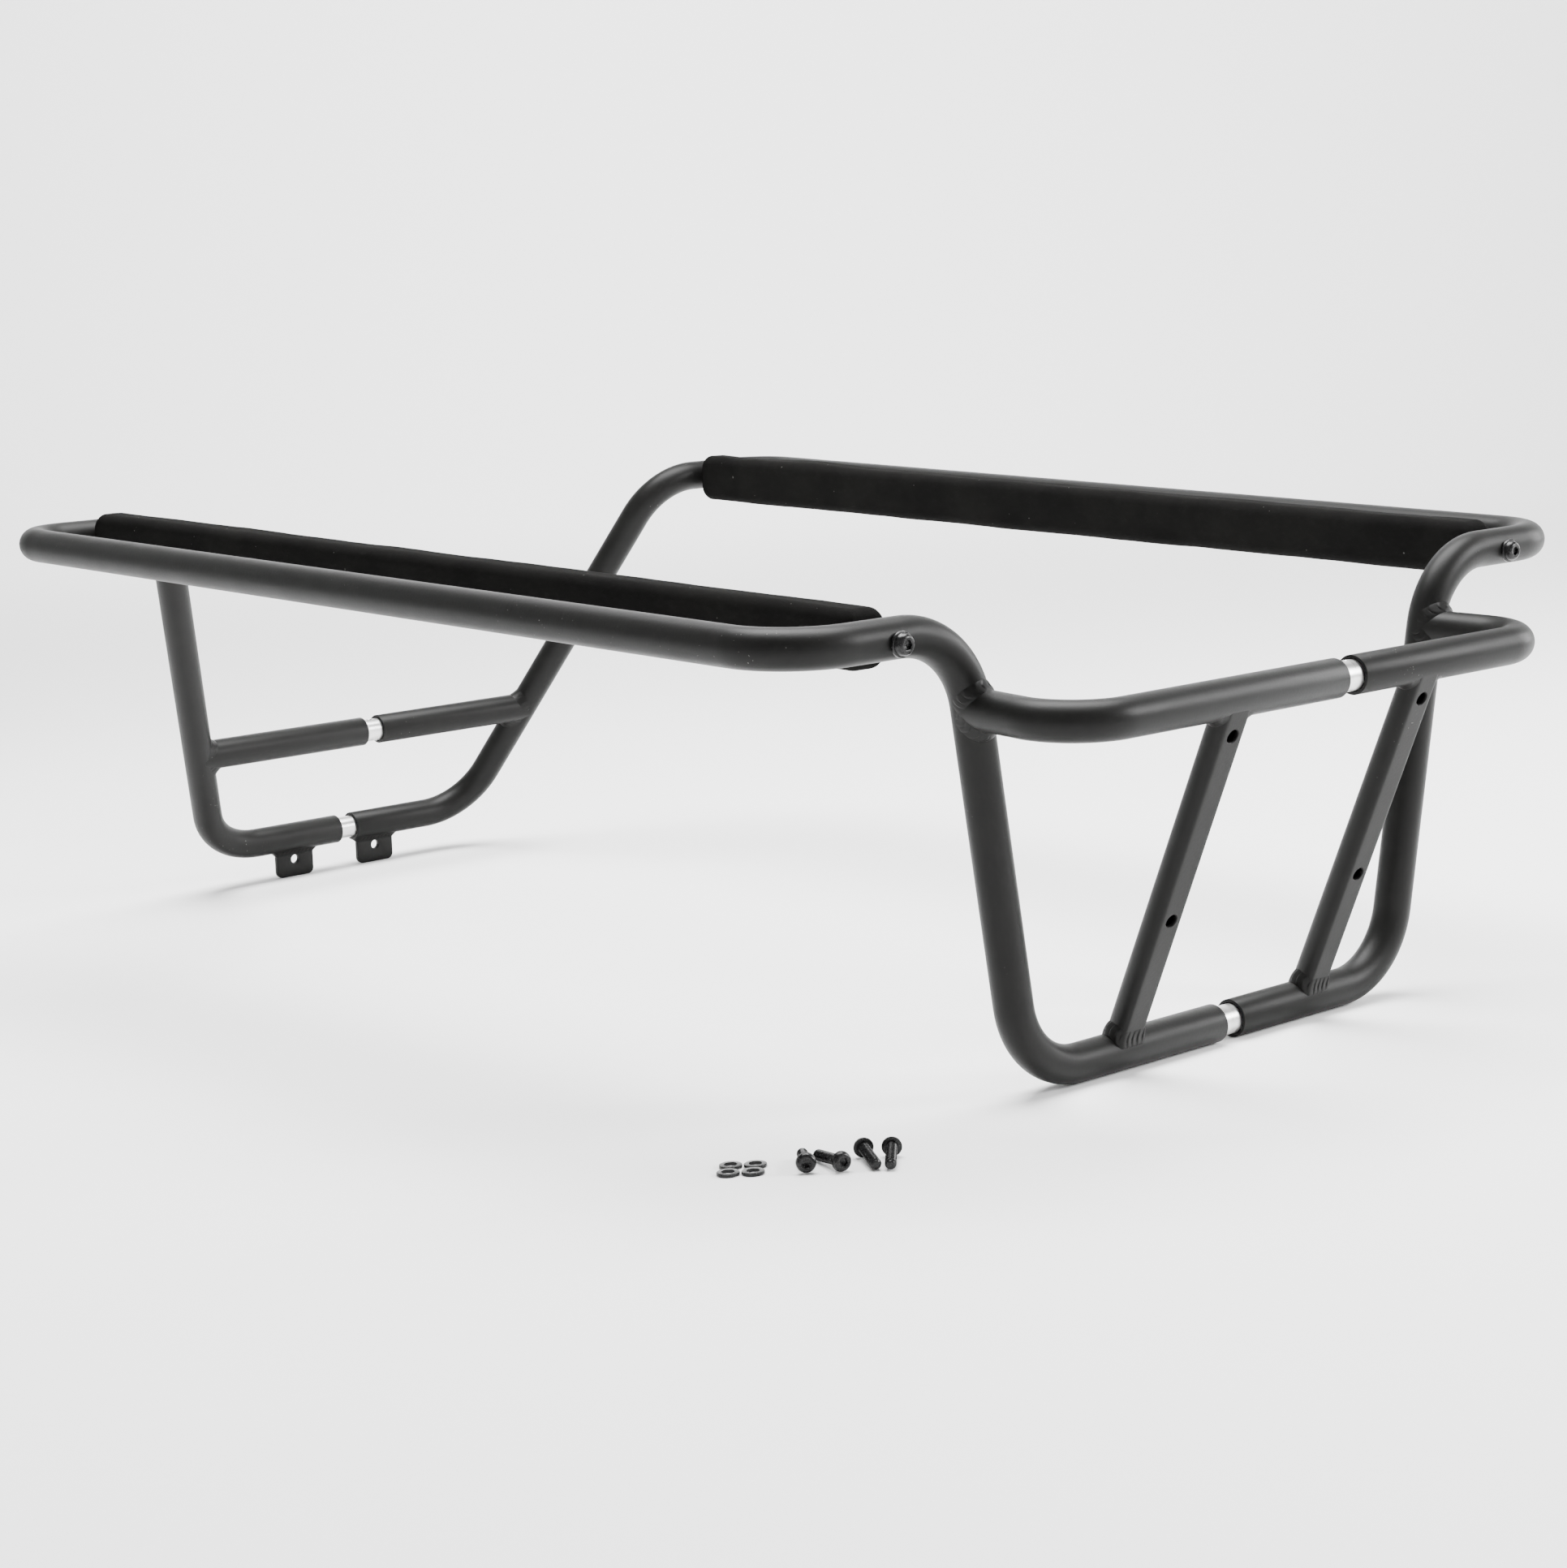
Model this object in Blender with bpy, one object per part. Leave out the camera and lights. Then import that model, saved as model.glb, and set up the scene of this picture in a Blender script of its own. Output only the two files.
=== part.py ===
"""Padded carrier rail in two telescoping halves, for the rear deck of a cargo bicycle.

Two mirrored halves of bent aluminium tube meet on four bare spigots across the middle, so the width adjusts.
Each half has a main tube in three parts, a bumper tube, a mid crossbar, a D-section strut, a drilled tab and
a padded side bar. The kit's loose bolts and washers lie on the floor beside the left half.

The frame is laid out with its rails along X, end A at -X and end B at +X, the left half at -Y, and the
origin on the axis of the end B base bar. An empty then stands it on its feet on the floor, z = 0.
"""
import math

import bmesh
import bpy
from mathutils import Vector

# Tube stock
TUBE_R = 0.0111
TUBE_WALL = 0.0020
SPIGOT_R = 0.0087
SPIGOT_WALL = 0.0018
SPIGOT_LENGTH = 0.110
SIDES = 16
BEND_STEPS = 5
CLEARANCE = 0.0003

# Layout of one half: places along X, heights over the end B base bar, and half widths from the middle
BASE_A_X = -0.929
MID_X = -0.884
TOP_A_X = -0.786
TOP_B_X = -0.001
BUMPER_X = 0.0787
BASE_A_Z = -0.0212
MID_Z = 0.0635
BUMPER_Z = 0.207
RAIL_Z = 0.2496
HALF_BASE_A = 0.118
HALF_TOP_A = 0.2207
HALF_RAIL_A = 0.331
HALF_RAIL_B = 0.3136
HALF_TOP_B = 0.1951
HALF_BASE_B = 0.1531
HALF_BUMPER = 0.1950

# Bend radii of the tube axes
BEND_BASE_A = 0.0537
BEND_TOP_A = 0.0490
BEND_RAIL_A = 0.0300
BEND_RAIL_B = 0.0412
BEND_TOP_B = 0.0500
BEND_BASE_B = 0.0488
BEND_BUMPER = 0.0350
RAIL_STUB = 0.0030

# Gaps over the spigots: the middle of each, and their common width
GAP = 0.014
GAP_BASE_A_Y = 0.001
GAP_MID_Y = 0.002
GAP_BASE_B_Y = 0.007
GAP_BUMPER_Y = 0.015
PIN_HOLE_R = 0.0020

# Struts: a round tube with one flat side, facing out of end B
STRUT_R = 0.0100
STRUT_FLAT = 0.0065
STRUT_WALL = 0.0020
STRUT_Y = 0.0787
STRUT_HEAD_OUT = 0.0047
STRUT_HOLE_R = 0.0040
STRUT_HOLES = (0.0892, 0.2042)

# Mount tabs under the end A base bar
TAB_WIDTH = 0.033
TAB_DROP = 0.0207
TAB_THICK = 0.0040
TAB_CORNER = 0.0050
TAB_HOLE_R = 0.0035
TAB_HOLE_UP = 0.0138
TAB_Y = {-1: -0.0460, 1: 0.0290}

# Padded side bars
PAD_WIDTH = 0.024
PAD_HEIGHT_A = 0.0352
PAD_HEIGHT_B = 0.0323
PAD_EDGE = 0.0070
PAD_END = 0.0065
PAD_Z = 0.2482
PAD_Y_A = {-1: -0.2690, 1: 0.2695}
PAD_Y_B = {-1: -0.2472, 1: 0.2532}
CORE_R = 0.0070
CORE_BORE_R = 0.0033
SADDLE_R = 0.0085
SADDLE_THICK = 0.0016
PAD_ROUND_STEPS = 4
PAD_TAPER_WIDTH = 0.15
PAD_TAPER_HEIGHT = 1.8
PAD_TAPER_EDGE = 0.2

# Hardware, M6
BOLT_R = 0.0030
BOLT_SIDES = 12
PAD_BOLT_LENGTH = 0.045
PAD_HEAD_R = 0.0060
PAD_HEAD_H = 0.0040
PAD_SOCKET = 0.0024
PAD_WASHER_R = 0.0070
LOOSE_BOLT_LENGTH = 0.025
LOOSE_HEAD_R = 0.0053
LOOSE_HEAD_H = 0.0033
LOOSE_SOCKET = 0.0020
LOOSE_WASHER_R = 0.0060
WASHER_THICK = 0.0016
HOLE_R = 0.0033

# Loose kit on the floor, from below the end B base bar: bolt heads with headings, and washers
LOOSE_BOLTS = ((0.0143, -0.3207, 144), (0.0265, -0.3076, 168), (0.0180, -0.2858, -27), (0.0280, -0.2752, -44))
LOOSE_WASHERS = ((-0.0227, -0.3398), (-0.0142, -0.3305), (-0.0135, -0.3490), (-0.0052, -0.3395))

SIDE_NAMES = {-1: "left", 1: "right"}


def clear_scene():
    for old in list(bpy.data.objects):
        bpy.data.objects.remove(old, do_unlink=True)


def make_material(name, colour, roughness, metallic):
    material = bpy.data.materials.new(name)
    material.use_nodes = True
    shader = material.node_tree.nodes["Principled BSDF"]
    shader.inputs["Base Color"].default_value = (*colour, 1.0)
    shader.inputs["Roughness"].default_value = roughness
    shader.inputs["Metallic"].default_value = metallic
    return material


def add_object(name, bm, material, parent):
    """Turn a bmesh into a named object that hangs from a parent empty."""
    bmesh.ops.recalc_face_normals(bm, faces=bm.faces)
    mesh = bpy.data.meshes.new(name)
    bm.to_mesh(mesh)
    bm.free()
    mesh.shade_smooth()
    mesh.set_sharp_from_angle(angle=math.radians(35))
    mesh.materials.append(material)
    piece = bpy.data.objects.new(name, mesh)
    piece.parent = parent
    bpy.context.scene.collection.objects.link(piece)
    return piece


def add_cutter(name, bm, parent):
    cutter = add_object(name, bm, MATERIALS["powder"], parent)
    cutter.hide_render = True
    cutter.display_type = "WIRE"
    return cutter


def cut(piece, cutter):
    modifier = piece.modifiers.new("Cut", "BOOLEAN")
    modifier.operation = "DIFFERENCE"
    modifier.solver = "EXACT"
    modifier.object = cutter


def rounded_path(corners, radii):
    """Points along straight runs joined by arcs; radii has one value for each inner corner."""
    points = [Vector(corners[0])]
    for index, radius in enumerate(radii, start=1):
        corner = Vector(corners[index])
        back = (Vector(corners[index - 1]) - corner).normalized()
        ahead = (Vector(corners[index + 1]) - corner).normalized()
        inside = back.angle(ahead)
        turn = math.pi - inside
        start = corner + back * (radius / math.tan(inside / 2))
        centre = corner + (back + ahead).normalized() * (radius / math.sin(inside / 2))
        spoke = start - centre
        for step in range(BEND_STEPS + 1):
            angle = turn * step / BEND_STEPS
            points.append(centre + spoke * math.cos(angle) - back * radius * math.sin(angle))
    points.append(Vector(corners[-1]))
    return points


def path_frames(points):
    """A pair of cross axes at each point, carried along the path without twist."""
    frames = []
    side = None
    for index, point in enumerate(points):
        before = points[max(index - 1, 0)]
        after = points[min(index + 1, len(points) - 1)]
        tangent = (after - point).normalized() + (point - before).normalized()
        tangent.normalize()
        if side is None:
            side = tangent.orthogonal().normalized()
            if abs(tangent.z) < 0.9:
                side = tangent.cross(Vector((0, 0, 1))).normalized()
        side = (side - tangent * side.dot(tangent)).normalized()
        frames.append((side, tangent.cross(side)))
    return frames


def circle(radius, sides=SIDES):
    return [(radius * math.cos(2 * math.pi * i / sides), radius * math.sin(2 * math.pi * i / sides))
            for i in range(sides)]


def sweep_rings(bm, points, outline):
    rings = []
    for point, (side, up) in zip(points, path_frames(points)):
        rings.append([bm.verts.new(point + side * u + up * v) for u, v in outline])
    return rings


def bridge(bm, rings):
    """Quads between one ring and the next."""
    for low, high in zip(rings, rings[1:]):
        count = len(low)
        for i in range(count):
            j = (i + 1) % count
            bm.faces.new((low[i], low[j], high[j], high[i]))


def tube(points, outer, inner=None):
    """A swept outline; with an inner outline it is a hollow tube with open ends."""
    bm = bmesh.new()
    skin = sweep_rings(bm, points, outer)
    bridge(bm, skin)
    if inner is None:
        bm.faces.new(skin[0])
        bm.faces.new(list(reversed(skin[-1])))
        return bm
    bore = sweep_rings(bm, points, inner)
    bridge(bm, bore)
    bridge(bm, [skin[0], bore[0]])
    bridge(bm, [skin[-1], bore[-1]])
    return bm


def ring_solid(outer_radius, inner_radius, low, high, sides=SIDES):
    """A flat ring about X from low to high."""
    bm = bmesh.new()
    corners = ((low, outer_radius), (high, outer_radius), (high, inner_radius), (low, inner_radius))
    rings = [[bm.verts.new((x, y, z)) for y, z in circle(radius, sides)] for x, radius in corners]
    bridge(bm, rings + rings[:1])
    return bm


def rod_between(start, end, radius):
    return tube([Vector(start), Vector(end)], circle(radius))


def gap_end(gap_middle, side):
    return gap_middle + side * GAP / 2


def main_path(side):
    corners = (
        (BASE_A_X, gap_end(GAP_BASE_A_Y, side), BASE_A_Z),
        (BASE_A_X, side * HALF_BASE_A, BASE_A_Z),
        (TOP_A_X, side * HALF_TOP_A, RAIL_Z),
        (TOP_A_X, side * HALF_RAIL_A, RAIL_Z),
        (TOP_B_X, side * HALF_RAIL_B, RAIL_Z),
        (TOP_B_X, side * HALF_TOP_B, RAIL_Z),
        (0.0, side * HALF_BASE_B, 0.0),
        (0.0, gap_end(GAP_BASE_B_Y, side), 0.0),
    )
    radii = (BEND_BASE_A, BEND_TOP_A, BEND_RAIL_A, BEND_RAIL_B, BEND_TOP_B, BEND_BASE_B)
    return rounded_path(corners, radii)


def between(low, high, share):
    return low + (high - low) * share


def bumper_path(side):
    share = BUMPER_Z / RAIL_Z
    corners = (
        (between(0.0, TOP_B_X, share), side * between(HALF_BASE_B, HALF_TOP_B, share), BUMPER_Z),
        (BUMPER_X, side * HALF_BUMPER, BUMPER_Z),
        (BUMPER_X, gap_end(GAP_BUMPER_Y, side), BUMPER_Z),
    )
    return rounded_path(corners, (BEND_BUMPER,))


def mid_path(side):
    share = (MID_Z - BASE_A_Z) / (RAIL_Z - BASE_A_Z)
    leg_y = side * between(HALF_BASE_A, HALF_TOP_A, share)
    return [Vector((MID_X, leg_y, MID_Z)), Vector((MID_X, gap_end(GAP_MID_Y, side), MID_Z))]


def pad_point(share, side):
    """A point on the pad's axis: share 0 on the end A cross part's axis, 1 on the end B one's."""
    x = between(TOP_A_X, TOP_B_X, share)
    y = between(PAD_Y_A[side], PAD_Y_B[side], share)
    return Vector((x, y, PAD_Z))


def d_outline(radius, flat):
    """A circle with one flat side towards +u; the arc goes round the other way."""
    edge = math.acos(flat / radius)
    steps = SIDES - 1
    arc = 2 * math.pi - 2 * edge
    return [(radius * math.cos(edge + arc * i / steps), radius * math.sin(edge + arc * i / steps))
            for i in range(SIDES)]


def build_main_tubes(side, half):
    """One bent tube, cut near the ends of its straight rail so that each part is a simple shape."""
    path = main_path(side)
    name = SIDE_NAMES[side]
    rail_start = 3 * (BEND_STEPS + 1)
    low = path[rail_start]
    high = path[rail_start + 1]
    along_rail = (high - low).normalized()
    stub = along_rail * RAIL_STUB
    gap = along_rail * CLEARANCE
    parts = (
        ("end_a_tube_", path[:rail_start + 1] + [low + stub]),
        ("rail_tube_", [low + stub + gap, high - stub - gap]),
        ("end_b_tube_", [high - stub] + path[rail_start + 1:]),
    )
    pieces = [add_object(label + name, tube(points, circle(TUBE_R), circle(TUBE_R - TUBE_WALL)),
                         MATERIALS["powder"], half)
              for label, points in parts]
    _, along, _ = pad_axis(side)
    for share, piece in ((0, pieces[0]), (1, pieces[2])):
        centre = pad_point(share, side)
        reach = along * 2 * TUBE_R
        drill = add_cutter("drill_pad_%s_%d" % (name, share),
                           rod_between(centre - reach, centre + reach, HOLE_R), half)
        cut(piece, drill)
    return add_cutter("cope_main_" + name, tube(path, circle(TUBE_R + CLEARANCE)), half)


def build_bumper(side, half, cope_main):
    path = bumper_path(side)
    name = SIDE_NAMES[side]
    piece = add_object("bumper_tube_" + name, tube(path, circle(TUBE_R), circle(TUBE_R - TUBE_WALL)),
                       MATERIALS["powder"], half)
    cut(piece, cope_main)
    return add_cutter("cope_bumper_" + name, tube(path, circle(TUBE_R + CLEARANCE)), half)


def build_mid_crossbar(side, half, cope_main):
    bar = tube(mid_path(side), circle(TUBE_R), circle(TUBE_R - TUBE_WALL))
    piece = add_object("mid_crossbar_" + SIDE_NAMES[side], bar, MATERIALS["powder"], half)
    cut(piece, cope_main)


def strut_axes():
    """Direction up the strut, and the outward normal of its flat side."""
    up = Vector((BUMPER_X + STRUT_HEAD_OUT, 0, BUMPER_Z)).normalized()
    return up, Vector((up.z, 0, -up.x))


def build_strut(side, half, cope_main, cope_bumper):
    name = SIDE_NAMES[side]
    up, out = strut_axes()
    across = up.cross(out)
    foot = Vector((0, side * STRUT_Y, 0))
    head = Vector((BUMPER_X + STRUT_HEAD_OUT, side * STRUT_Y, BUMPER_Z))
    bm = bmesh.new()
    skins = []
    for outline in (d_outline(STRUT_R, STRUT_FLAT), d_outline(STRUT_R - STRUT_WALL, STRUT_FLAT - STRUT_WALL)):
        rings = [[bm.verts.new(end + out * u + across * v) for u, v in outline] for end in (foot, head)]
        bridge(bm, rings)
        skins.append(rings)
    bridge(bm, [skins[0][0], skins[1][0]])
    bridge(bm, [skins[0][1], skins[1][1]])
    piece = add_object("strut_" + name, bm, MATERIALS["powder"], half)
    cut(piece, cope_main)
    cut(piece, cope_bumper)
    for number, distance in enumerate(STRUT_HOLES):
        centre = foot + up * distance
        drill = add_cutter("drill_strut_%s_%d" % (name, number),
                           rod_between(centre, centre + out * 2 * STRUT_R, STRUT_HOLE_R), half)
        cut(piece, drill)


def build_tab(side, half, cope_main):
    """A plate with round lower corners, its top edge coped to the base bar."""
    name = SIDE_NAMES[side]
    bottom = BASE_A_Z - TUBE_R - TAB_DROP
    half_width = TAB_WIDTH / 2
    outline = [(-half_width, BASE_A_Z), (half_width, BASE_A_Z)]
    steps = 4
    for sign in (1, -1):
        for step in range(steps + 1):
            angle = math.radians(90) * step / steps
            if sign < 0:
                angle = math.radians(90) - angle
            outline.append((sign * (half_width - TAB_CORNER + TAB_CORNER * math.cos(angle)),
                            bottom + TAB_CORNER - TAB_CORNER * math.sin(angle)))
    outline = [(y + TAB_Y[side], z) for y, z in outline]
    bm = bmesh.new()
    rings = [[bm.verts.new((BASE_A_X + x, y, z)) for y, z in outline] for x in (-TAB_THICK / 2, TAB_THICK / 2)]
    bridge(bm, rings)
    bm.faces.new(rings[0])
    bm.faces.new(list(reversed(rings[1])))
    piece = add_object("mount_tab_" + name, bm, MATERIALS["powder"], half)
    centre = Vector((BASE_A_X, TAB_Y[side], bottom + TAB_HOLE_UP))
    reach = Vector((2 * TAB_THICK, 0, 0))
    drill = add_cutter("drill_tab_" + name, rod_between(centre - reach, centre + reach, TAB_HOLE_R), half)
    cut(piece, cope_main)
    cut(piece, drill)


def rounded_box_outline(width, height, edge):
    """A rounded rectangle, three points to a corner."""
    points = []
    for quarter in range(4):
        middle_u = (width / 2 - edge) * (1 if quarter in (0, 3) else -1)
        middle_v = (height / 2 - edge) * (1 if quarter in (0, 1) else -1)
        for step in range(4):
            angle = math.radians(90 * quarter + 30 * step)
            points.append((middle_u + edge * math.cos(angle), middle_v + edge * math.sin(angle)))
    return points


def pad_axis(side):
    start = pad_point(0, side)
    along = (pad_point(1, side) - start).normalized()
    return start, along, (pad_point(1, side) - start).length


def build_pad(side, half):
    """Foam over a drilled core bar, with a pocket for a saddle at each end."""
    name = SIDE_NAMES[side]
    start, along, span = pad_axis(side)
    across = Vector((0, 0, 1)).cross(along)
    inset = TUBE_R + 2 * CLEARANCE
    core_inset = TUBE_R + SADDLE_THICK + 2 * CLEARANCE
    bm = bmesh.new()
    skin = []
    angles = [math.radians(90) * i / PAD_ROUND_STEPS for i in range(PAD_ROUND_STEPS + 1)]
    stations = [(PAD_END * (1 - math.cos(angle)), PAD_END * (1 - math.sin(angle))) for angle in angles]
    ends = [(inset + run, trim) for run, trim in stations]
    ends += [(span - inset - run, trim) for run, trim in reversed(stations)]
    for distance, trim in ends:
        centre = start + along * distance
        height = between(PAD_HEIGHT_A, PAD_HEIGHT_B, distance / span)
        outline = rounded_box_outline(PAD_WIDTH - trim * PAD_TAPER_WIDTH, height - trim * PAD_TAPER_HEIGHT,
                                      PAD_EDGE - trim * PAD_TAPER_EDGE)
        skin.append([bm.verts.new(centre + across * u + Vector((0, 0, v))) for u, v in outline])
    bridge(bm, skin)
    holes = []
    pocket = (SADDLE_R + CLEARANCE, CORE_R + CLEARANCE)
    bore = [(inset, pocket[0]), (core_inset, pocket[0]), (core_inset, pocket[1])]
    bore += [(span - distance, radius) for distance, radius in reversed(bore)]
    for distance, radius in bore:
        centre = start + along * distance
        holes.append([bm.verts.new(centre + across * u + Vector((0, 0, v))) for u, v in circle(radius)])
    bridge(bm, holes)
    bridge(bm, [skin[0], holes[0]])
    bridge(bm, [skin[-1], holes[-1]])
    add_object("pad_" + name, bm, MATERIALS["foam"], half)

    core_path = [start + along * core_inset, start + along * (span - core_inset)]
    core = tube(core_path, circle(CORE_R), circle(CORE_BORE_R))
    add_object("pad_core_" + name, core, MATERIALS["bare"], half)


def build_pad_end(side, half, share, cope_main):
    """Saddle, washer and bolt at one end of a pad, on the pad's own axis."""
    place = "%s_%s" % (SIDE_NAMES[side], "ab"[share])
    outward = 1 if share else -1
    centre = pad_point(share, side)
    _, along, _ = pad_axis(side)
    heading = math.atan2(along.y, along.x)
    face = TUBE_R + CLEARANCE

    saddle = ring_solid(SADDLE_R, HOLE_R, 0.0, -outward * (face + SADDLE_THICK))
    saddle = add_object("pad_saddle_" + place, saddle, MATERIALS["bare"], half)
    cut(saddle, cope_main)
    washer = ring_solid(PAD_WASHER_R, HOLE_R, outward * face, outward * (face + WASHER_THICK))
    washer = add_object("pad_washer_" + place, washer, MATERIALS["black_steel"], half)
    for piece in (saddle, washer):
        piece.location = centre
        piece.rotation_euler.z = heading

    piece = add_object("pad_bolt_" + place, pad_bolt(), MATERIALS["black_steel"], half)
    piece.location = centre + along * outward * (face + WASHER_THICK + CLEARANCE)
    piece.rotation_euler.z = heading + (0 if share else math.pi)


def bolt(length, head_r, head_h, socket):
    """A button-head bolt with a hexagon socket; head towards +X, the seat of the head at x = 0."""
    bm = bmesh.new()
    profile = (
        (-length, 0.8 * BOLT_R),
        (0.2 * BOLT_R - length, BOLT_R),
        (0.0, BOLT_R),
        (0.0, head_r),
        (0.2 * head_h, head_r),
        (0.6 * head_h, 0.88 * head_r),
        (head_h, 0.62 * head_r),
    )
    rings = [[bm.verts.new((x, y, z)) for y, z in circle(radius, BOLT_SIDES)] for x, radius in profile]
    for x in (head_h, 0.4 * head_h):
        ring = []
        for i in range(BOLT_SIDES):
            angle = 2 * math.pi * i / BOLT_SIDES
            reach = socket / math.cos(math.radians(30)) if i % 2 == 0 else socket
            ring.append(bm.verts.new((x, reach * math.cos(angle), reach * math.sin(angle))))
        rings.append(ring)
    bridge(bm, rings)
    bm.faces.new(rings[0])
    bm.faces.new(list(reversed(rings[-1])))
    return bm


def pad_bolt():
    return bolt(PAD_BOLT_LENGTH, PAD_HEAD_R, PAD_HEAD_H, PAD_SOCKET)


def loose_bolt():
    return bolt(LOOSE_BOLT_LENGTH, LOOSE_HEAD_R, LOOSE_HEAD_H, LOOSE_SOCKET)


def build_spigot(name, centre, half, pin_hole):
    """A bare tube across a gap, with a pin hole in its top where the real one is drilled."""
    reach = Vector((0, SPIGOT_LENGTH / 2, 0))
    centre = Vector(centre)
    sleeve = tube([centre - reach, centre + reach], circle(SPIGOT_R), circle(SPIGOT_R - SPIGOT_WALL))
    piece = add_object(name, sleeve, MATERIALS["bare"], half)
    if pin_hole:
        top = centre + Vector((0, 0, 2 * SPIGOT_R))
        cut(piece, add_cutter("drill_" + name, rod_between(centre, top, PIN_HOLE_R), half))


def build_loose_kit(kit):
    """Bolts lie on the rim of their head and the tip of their shank; washers lie flat."""
    tilt = math.asin((LOOSE_HEAD_R - BOLT_R) / LOOSE_BOLT_LENGTH)
    for number, (x, y, heading) in enumerate(LOOSE_BOLTS, start=1):
        piece = add_object("loose_bolt_%d" % number, loose_bolt(), MATERIALS["black_steel"], kit)
        piece.location = (x, y, LOOSE_HEAD_R * math.cos(tilt))
        piece.rotation_euler = (0, -tilt, math.radians(heading + 180))
    for number, (x, y) in enumerate(LOOSE_WASHERS, start=1):
        washer = ring_solid(LOOSE_WASHER_R, HOLE_R, 0.0, WASHER_THICK)
        piece = add_object("loose_washer_%d" % number, washer, MATERIALS["black_steel"], kit)
        piece.location = (x, y, 0)
        piece.rotation_euler = (0, -math.radians(90), 0)


def stand_on_floor(frame):
    """Tilt the frame about Y until its end B base bar and its tabs both touch z = 0."""
    tab_bottom = BASE_A_Z - TUBE_R - TAB_DROP
    run = -BASE_A_X + TAB_THICK / 2
    angle = math.atan2(-TUBE_R - tab_bottom, run)
    frame.rotation_euler = (0, angle, 0)
    for _ in range(3):
        bpy.context.view_layer.update()
        feet = frame.matrix_world @ Vector((BASE_A_X - TAB_THICK / 2, 0, tab_bottom))
        bar = frame.matrix_world.translation.z - TUBE_R
        frame.rotation_euler.y += (bar - feet.z) / run
    frame.location.z = TUBE_R


def solid_objects():
    return [piece for piece in bpy.data.objects if piece.type == "MESH" and not piece.hide_render]


def centre_on_floor(stand):
    """Move everything so that the middle of the whole object's bottom is the origin."""
    bpy.context.view_layer.update()
    corners = []
    for piece in solid_objects():
        corners += [piece.matrix_world @ vertex.co for vertex in piece.data.vertices]
    low = [min(corner[axis] for corner in corners) for axis in range(3)]
    high = [max(corner[axis] for corner in corners) for axis in range(3)]
    stand.location = (-(low[0] + high[0]) / 2, -(low[1] + high[1]) / 2, -low[2])


def add_empty(name, parent):
    empty = bpy.data.objects.new(name, None)
    empty.parent = parent
    bpy.context.scene.collection.objects.link(empty)
    return empty


def build():
    stand = add_empty("stand", None)
    frame = add_empty("frame", stand)
    halves = {-1: add_empty("left_half", frame), 1: add_empty("right_half", frame)}
    for side, half in halves.items():
        cope_main = build_main_tubes(side, half)
        cope_bumper = build_bumper(side, half, cope_main)
        build_mid_crossbar(side, half, cope_main)
        build_strut(side, half, cope_main, cope_bumper)
        build_tab(side, half, cope_main)
        build_pad(side, half)
        for share in (0, 1):
            build_pad_end(side, half, share, cope_main)
    build_spigot("spigot_base_a", (BASE_A_X, GAP_BASE_A_Y, BASE_A_Z), halves[-1], False)
    build_spigot("spigot_mid", (MID_X, GAP_MID_Y, MID_Z), halves[-1], True)
    build_spigot("spigot_base_b", (0, GAP_BASE_B_Y, 0), halves[-1], False)
    build_spigot("spigot_bumper", (BUMPER_X, GAP_BUMPER_Y, BUMPER_Z), halves[-1], True)
    build_loose_kit(add_empty("loose_kit", stand))
    stand_on_floor(frame)
    centre_on_floor(stand)
    bpy.context.view_layer.update()


clear_scene()
MATERIALS = {
    "powder": make_material("charcoal_powder", (0.028, 0.028, 0.026), 0.42, 0.25),
    "bare": make_material("bare_aluminium", (0.80, 0.81, 0.82), 0.32, 1.0),
    "foam": make_material("black_foam", (0.008, 0.008, 0.008), 0.95, 0.0),
    "black_steel": make_material("black_steel", (0.012, 0.012, 0.013), 0.30, 0.6),
}
build()
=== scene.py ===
"""Visual model of the padded carrier rail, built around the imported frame.

Each half is bent tube with coped joints and weld beads, a D-section strut, a drilled tab and a foam pad.
Pieces are laid out as the CAD is, with the rails along X and the origin on the axis of the end B base bar.
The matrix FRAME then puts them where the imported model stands.
"""
import math
import random

import bmesh
import bpy
import numpy as np
from mathutils import Matrix, Vector, noise


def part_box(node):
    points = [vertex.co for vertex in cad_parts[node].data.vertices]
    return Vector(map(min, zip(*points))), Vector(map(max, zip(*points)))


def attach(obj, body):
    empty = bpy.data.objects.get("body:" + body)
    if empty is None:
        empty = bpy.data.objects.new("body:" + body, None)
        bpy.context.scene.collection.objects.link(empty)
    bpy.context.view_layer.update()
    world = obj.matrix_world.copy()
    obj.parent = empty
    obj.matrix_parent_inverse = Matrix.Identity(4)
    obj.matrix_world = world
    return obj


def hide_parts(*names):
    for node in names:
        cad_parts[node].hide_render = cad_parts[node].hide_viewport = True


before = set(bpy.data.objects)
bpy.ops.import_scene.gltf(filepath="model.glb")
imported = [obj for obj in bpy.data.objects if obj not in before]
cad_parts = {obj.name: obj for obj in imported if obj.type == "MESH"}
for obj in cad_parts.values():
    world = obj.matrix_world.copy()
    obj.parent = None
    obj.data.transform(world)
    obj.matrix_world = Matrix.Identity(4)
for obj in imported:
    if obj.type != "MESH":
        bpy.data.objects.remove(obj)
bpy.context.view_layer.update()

# Tube stock, in metres
TUBE_R = 0.0111
TUBE_WALL = 0.0020
TUBE_LIP = 0.0005
SPIGOT_R = 0.0087
SPIGOT_WALL = 0.0018
SPIGOT_LENGTH = 0.110

# How finely round things are drawn
SIDES = 56
HOLE_SIDES = 40
STRUT_SIDES = 96
BOLT_SIDES = 48
BEND_STEP = math.radians(4)

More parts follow.
